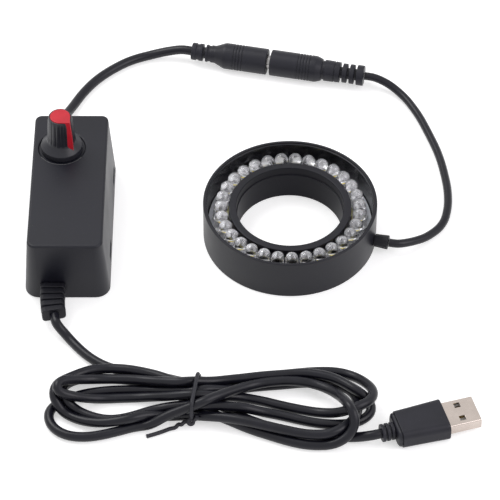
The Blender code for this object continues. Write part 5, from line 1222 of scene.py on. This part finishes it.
socket = finished(socket_body(), OVERMOULD_BLACK, smooth=40)
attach(socket, "controller")
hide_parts("dc_socket_overmould")
plug = finished(plug_body(), OVERMOULD_BLACK, smooth=40)
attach(plug, "head")
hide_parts("dc_plug_overmould")
NICKEL = metal("nickel_plate", (0.64, 0.56, 0.51), 0.24)
SLEEVE_NICKEL = metal("sleeve_nickel", (0.36, 0.35, 0.35), 0.2)
BRIGHT_BRASS = metal("bright_contact", (0.85, 0.68, 0.36), 0.22)
SLEEVE_PROFILE = in_mm([
    (2, 2.7), (BARREL_RADIUS, 2.7), (BARREL_RADIUS, -BARREL_OUT, 0.35), (PIN_BORE, -BARREL_OUT, 0.2),
    (PIN_BORE, 2.7), (2, 2.7),
])
in_plug = laid_along(PLUG_FACE, CONNECTOR_DIRECTION)
barrel = lathe("dc_plug_sleeve", filleted(SLEEVE_PROFILE, 0.05 * MM)[:-1], place=in_plug)
barrel = finished(barrel, SLEEVE_NICKEL)
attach(barrel, "head")
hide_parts("dc_plug_barrel")
dress("dc_socket_pin", BRIGHT_BRASS)


# USB plug
# A folded, nickel-plated steel shell with two latch windows, let into a moulded PVC grip with a
# chamfered rear and a ringed relief. Inside, a white tongue carries four gold-plated contacts.
USB_ROOT = Vector((88.2, -97.8, 4.0)) * MM
USB_SIDE = UP.cross(USB_DIRECTION)
# sizes in millimetres; the grip's sections are width, height, corner and place along the plug
USB_GRIP_SECTIONS = (
    (9.6, 4.6, 1.2, -19.3), (11.0, 5.8, 1.8, -19.3), (12.3, 6.8, 2.2, -18.9), (12.8, 7.2, 2.4, -18.4),
    (12.8, 7.2, 2.4, -18.25), (12.3, 6.7, 2.2, -18.2), (12.3, 6.7, 2.2, -17.85), (13.3, 7.8, 2.4, -17.8),
    (13.5, 8.0, 2.5, -17.6), (14.1, 8.0, 2.5, -11), (14.6, 8.0, 2.5, -6), (15.1, 8.0, 2.5, -1.2),
    (15.2, 8.0, 2.5, -0.7), (15.1, 7.9, 2.5, -0.4), (14.8, 7.6, 2.4, -0.24), (14.5, 7.3, 2.3, -0.2),
)
USB_RELIEF_START, USB_RELIEF_RADIUS, USB_RELIEF_RINGS, USB_RING_WIDTH = 19.0, 3.3, (0.6, 2.35, 4.1), 1.1
USB_SHELL_WIDTH, USB_SHELL_HEIGHT, USB_SHELL_WALL, USB_SHELL_LENGTH = 12.0, 4.5, 0.3, 11.75
USB_SHELL_CORNER, USB_SHELL_ROOT, USB_POCKET_PLAY = 0.75, 2.7, 0.2
LATCH_WINDOW, LATCH_ALONG, LATCH_ACROSS = 2.2, 5.4, 3.1
TONGUE_WIDTH, TONGUE_THICKNESS, TONGUE_LENGTH = 10.8, 1.85, 13.35
TONGUE_MIDDLE, TONGUE_DROP = 4.275, 0.725
FILLER_LENGTH, FILLER_HEIGHT = 2.4, 3.3
CONTACT_WIDTH, CONTACT_THICKNESS, CONTACT_END, CONTACT_RISE = 1.0, 0.3, 10.2, 0.22
# each contact's place across the tongue and its length
CONTACTS = ((-3.5, 7.4), (-1.0, 6.4), (1.0, 6.4), (3.5, 7.4))


def on_plug(along, across, up):
    """Place that lies so many millimetres along the plug, to its left and up from its middle line."""
    return USB_ROOT + (USB_DIRECTION * along + USB_SIDE * across + UP * up) * MM


def plug_loft(name, sections):
    """Solid through rounded rectangles: width, height, corner and place along the plug."""
    return loft(name, [
        [on_plug(along, x, y) for x, y in outline(width, height, corner, 6)]
        for width, height, corner, along in sections
    ])


def usb_grip():
    """Grip with its ringed relief and the pocket that the shell is let into."""
    profile = [(0, -2), (CORD_NECK, -2)]
    for ring in USB_RELIEF_RINGS:
        end = ring + USB_RING_WIDTH
        profile += [(CORD_NECK, ring), (USB_RELIEF_RADIUS, ring, 0.2), (USB_RELIEF_RADIUS, end, 0.2)]
        profile.append((CORD_NECK, end))
    profile[-1] = (0, 5.2)
    rear = lathe(
        "relief", filleted(in_mm(profile), 0.08 * MM, 2)[::-1], 48,
        laid_along(on_plug(-USB_RELIEF_START, 0, 0), -USB_DIRECTION),
    )
    body = boolean(plug_loft("usb_grip", USB_GRIP_SECTIONS), rear, "UNION")
    width, height = USB_SHELL_WIDTH + USB_POCKET_PLAY, USB_SHELL_HEIGHT + USB_POCKET_PLAY
    return boolean(body, plug_loft("pocket", [(width, height, 0.7, place) for place in (-3, 1)]))


grip = finished(usb_grip(), OVERMOULD_BLACK, smooth=40)
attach(grip, "controller")
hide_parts("usb_plug_overmould")


def shell_tube(name, inset, places):
    """Rounded tube of the shell's size, drawn in by an inset, through places along the plug."""
    width, height = USB_SHELL_WIDTH - 2 * inset, USB_SHELL_HEIGHT - 2 * inset
    return plug_loft(name, [(width, height, USB_SHELL_CORNER - inset, place) for place in places])


def shell_body():
    """Folded shell with its open mouth and two latch windows."""
    plate = shell_tube("usb_shell_plate", 0, (-USB_SHELL_ROOT, USB_SHELL_LENGTH - 0.15, USB_SHELL_LENGTH))
    hollow = shell_tube("hollow", USB_SHELL_WALL, (-USB_SHELL_ROOT - 1.3, USB_SHELL_LENGTH + 1.25))
    shell = boolean(plate, hollow)
    for across in (-LATCH_ACROSS, LATCH_ACROSS):
        size = Vector((LATCH_WINDOW, LATCH_WINDOW, 7)) * MM
        shell = boolean(shell, block("window", size, on_plug(LATCH_ALONG, across, 0), USB_YAW))
    return shell


shell = finished(shell_body(), NICKEL, bevel=0.06 * MM)
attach(shell, "controller")
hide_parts("usb_shell")

WHITE_PLASTIC = plastic(
    "white_insulator", (0.78, 0.78, 0.76), 0.4, grain=2000.0, mottle=120.0, dust=0.0, bump=0.05,
)
tongue_size = Vector((TONGUE_LENGTH, TONGUE_WIDTH, TONGUE_THICKNESS)) * MM
tongue = block("usb_insulator", tongue_size, on_plug(TONGUE_MIDDLE, 0, -TONGUE_DROP), USB_YAW)
filler_size = Vector((FILLER_LENGTH, TONGUE_WIDTH, FILLER_HEIGHT)) * MM
filler = block("filler", filler_size, on_plug(-FILLER_LENGTH / 2, 0, 0), USB_YAW)
tongue = finished(boolean(tongue, filler, "UNION"), WHITE_PLASTIC, bevel=0.12 * MM)
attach(tongue, "controller")
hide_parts("usb_tongue")
contact_strips = bmesh.new()
for across, length in CONTACTS:
    size = Vector((length, CONTACT_WIDTH, CONTACT_THICKNESS)) * MM
    add_block(contact_strips, size, on_plug(CONTACT_END - length / 2, across, CONTACT_RISE), USB_YAW)
contacts = finished(new_object("usb_contacts", contact_strips), BRIGHT_BRASS, bevel=0.05 * MM)
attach(contacts, "controller")


# Inside the box
# A small green board hangs from the potentiometer's pins; its capacitor and driver transistor
# stand on it. They are hidden by the cover and keep their CAD solids.
STEEL = metal("turned_steel", (0.62, 0.62, 0.63), 0.3)
BOARD_GREEN = plastic("board_green_mask", (0.02, 0.16, 0.06), 0.3, grain=600.0, mottle=300.0, dust=0.1)
SLEEVE_BLUE = plastic("capacitor_sleeve_blue", (0.03, 0.05, 0.13), 0.35, grain=1500.0, dust=0.1)
CHIP_BLACK = plastic("chip_black_epoxy", (0.02, 0.02, 0.02), 0.6, grain=2500.0, dust=0.1, bump=0.2)
for name, finish in (
    ("dimmer_board", BOARD_GREEN), ("potentiometer_body", STEEL), ("potentiometer_nut", STEEL),
    ("potentiometer_shaft", STEEL), ("filter_capacitor", SLEEVE_BLUE), ("driver_transistor", CHIP_BLACK),
):
    dress(name, finish)


# Twist tie
# A black plastic-coated wire passes under and over the hank's waist. Its ends are wrapped round
# each other in front: the short one sticks out on the right, the long one lies on the table.
TIE_WIRE = 1.5 * MM
TIE_PLANE = -1.6 * MM
TIE_FRONT, TIE_BACK = -2.9 * MM, -0.3 * MM
TIE_PLAY, TIE_FACETS, TIE_SPACING = 0.05 * MM, 24, 3.2 * MM
WAIST_BACK = -60 * MM
KNOT_RADIUS = 0.95 * MM
# places on the photograph: column, row, and height above the table in millimetres
KNOT_ON_PHOTO = (190.8, 421.6, 2.6)
SHORT_END_ON_PHOTO = ((197.4, 417.2, 6.0), (195.4, 419.2, 4.8))
TAIL_ON_PHOTO = (
    (190.6, 418.5, 3.2), (188.6, 421.4, 2.4), (184.4, 421.9, 2.2), (181.4, 424.6, 1.9), (178.6, 424.4, 1.5),
    (175.6, 427.3, 1.1), (170, 428.8, 0.9), (163, 431.4, 0.8), (154, 434.3, 0.8), (146.4, 436.4, 0.8),
)


def half_hull(points):
    """Lower half of the hull of sorted points."""
    kept = []
    for point in points:
        while len(kept) > 1 and (
            (kept[-1][0] - kept[-2][0]) * (point[1] - kept[-2][1])
            - (kept[-1][1] - kept[-2][1]) * (point[0] - kept[-2][0])
        ) <= 0:
            kept.pop()
        kept.append(point)
    return kept[:-1]


def tie_hull():
    """Hull in (y, z) that a taut wire takes round the strands at the waist."""
    reach = USB_CORD / 2 + TIE_WIRE / 2 + TIE_PLAY
    cloud = set()
    for near, far in zip(usb_points, usb_points[1:]):
        if (near[0] - TIE_PLANE) * (far[0] - TIE_PLANE) > 0 or max(near[1], far[1]) > WAIST_BACK:
            continue
        spot = (near + far) / 2
        for i in range(TIE_FACETS):
            angle = 2 * math.pi * i / TIE_FACETS
            height = max(spot[2] + reach * math.sin(angle), TIE_WIRE / 2)
            cloud.add((spot[1] + reach * math.cos(angle), height))
    cloud = sorted(cloud)
    return half_hull(cloud) + half_hull(cloud[::-1])


def tie_line():
    """The tie's middle line: the short end, a turn round the knot, under and over the hank, the tail."""
    hull = np.array(tie_hull())
    front = int(np.argmin(hull[:, 0] + 0.8 * hull[:, 1]))
    hull = np.roll(hull, -front, axis=0)
    around = even_points(np.column_stack((np.zeros(len(hull)), hull)), TIE_SPACING)[1:-1]
    share = (around[:, 1] - around[:, 1].min()) / np.ptp(around[:, 1])
    around[:, 0] = TIE_FRONT + (TIE_BACK - TIE_FRONT) * share
    knot, *ends = [
        on_photo(column, row, height * MM)
        for column, row, height in (KNOT_ON_PHOTO, *SHORT_END_ON_PHOTO, *TAIL_ON_PHOTO)
    ]
    right, upward = Vector((1, 0, 0)), Vector((0, math.sin(CAMERA_ELEVATION), math.cos(CAMERA_ELEVATION)))
    nearer = right.cross(upward)
    turn_round = []
    for i in range(7):
        angle = math.radians(20 - 55 * i)
        out = right * math.cos(angle) + upward * math.sin(angle)
        turn_round.append(knot + KNOT_RADIUS * out + nearer * (0.35 + 0.12 * i) * MM)
    return smooth_points([*ends[:2], *turn_round, *around, *ends[2:]], 0.4 * MM)


TIE_BLACK = plastic(
    "tie_black_coat", (0.02, 0.02, 0.026), 0.5, grain=2500.0, mottle=300.0, dust=0.2,
    bump=0.08, attribute="cord_place",
)
tie = swept_tube("waist_tie", tie_line(), TIE_WIRE, TIE_BLACK, sides=16)
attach(tie, "controller")
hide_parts("twist_tie")


# Cord lengths
cord_routes = (usb_points, dc_points, ring_points)
print("cord lengths, mm:", [round(route_length(points) / MM, 1) for points in cord_routes])
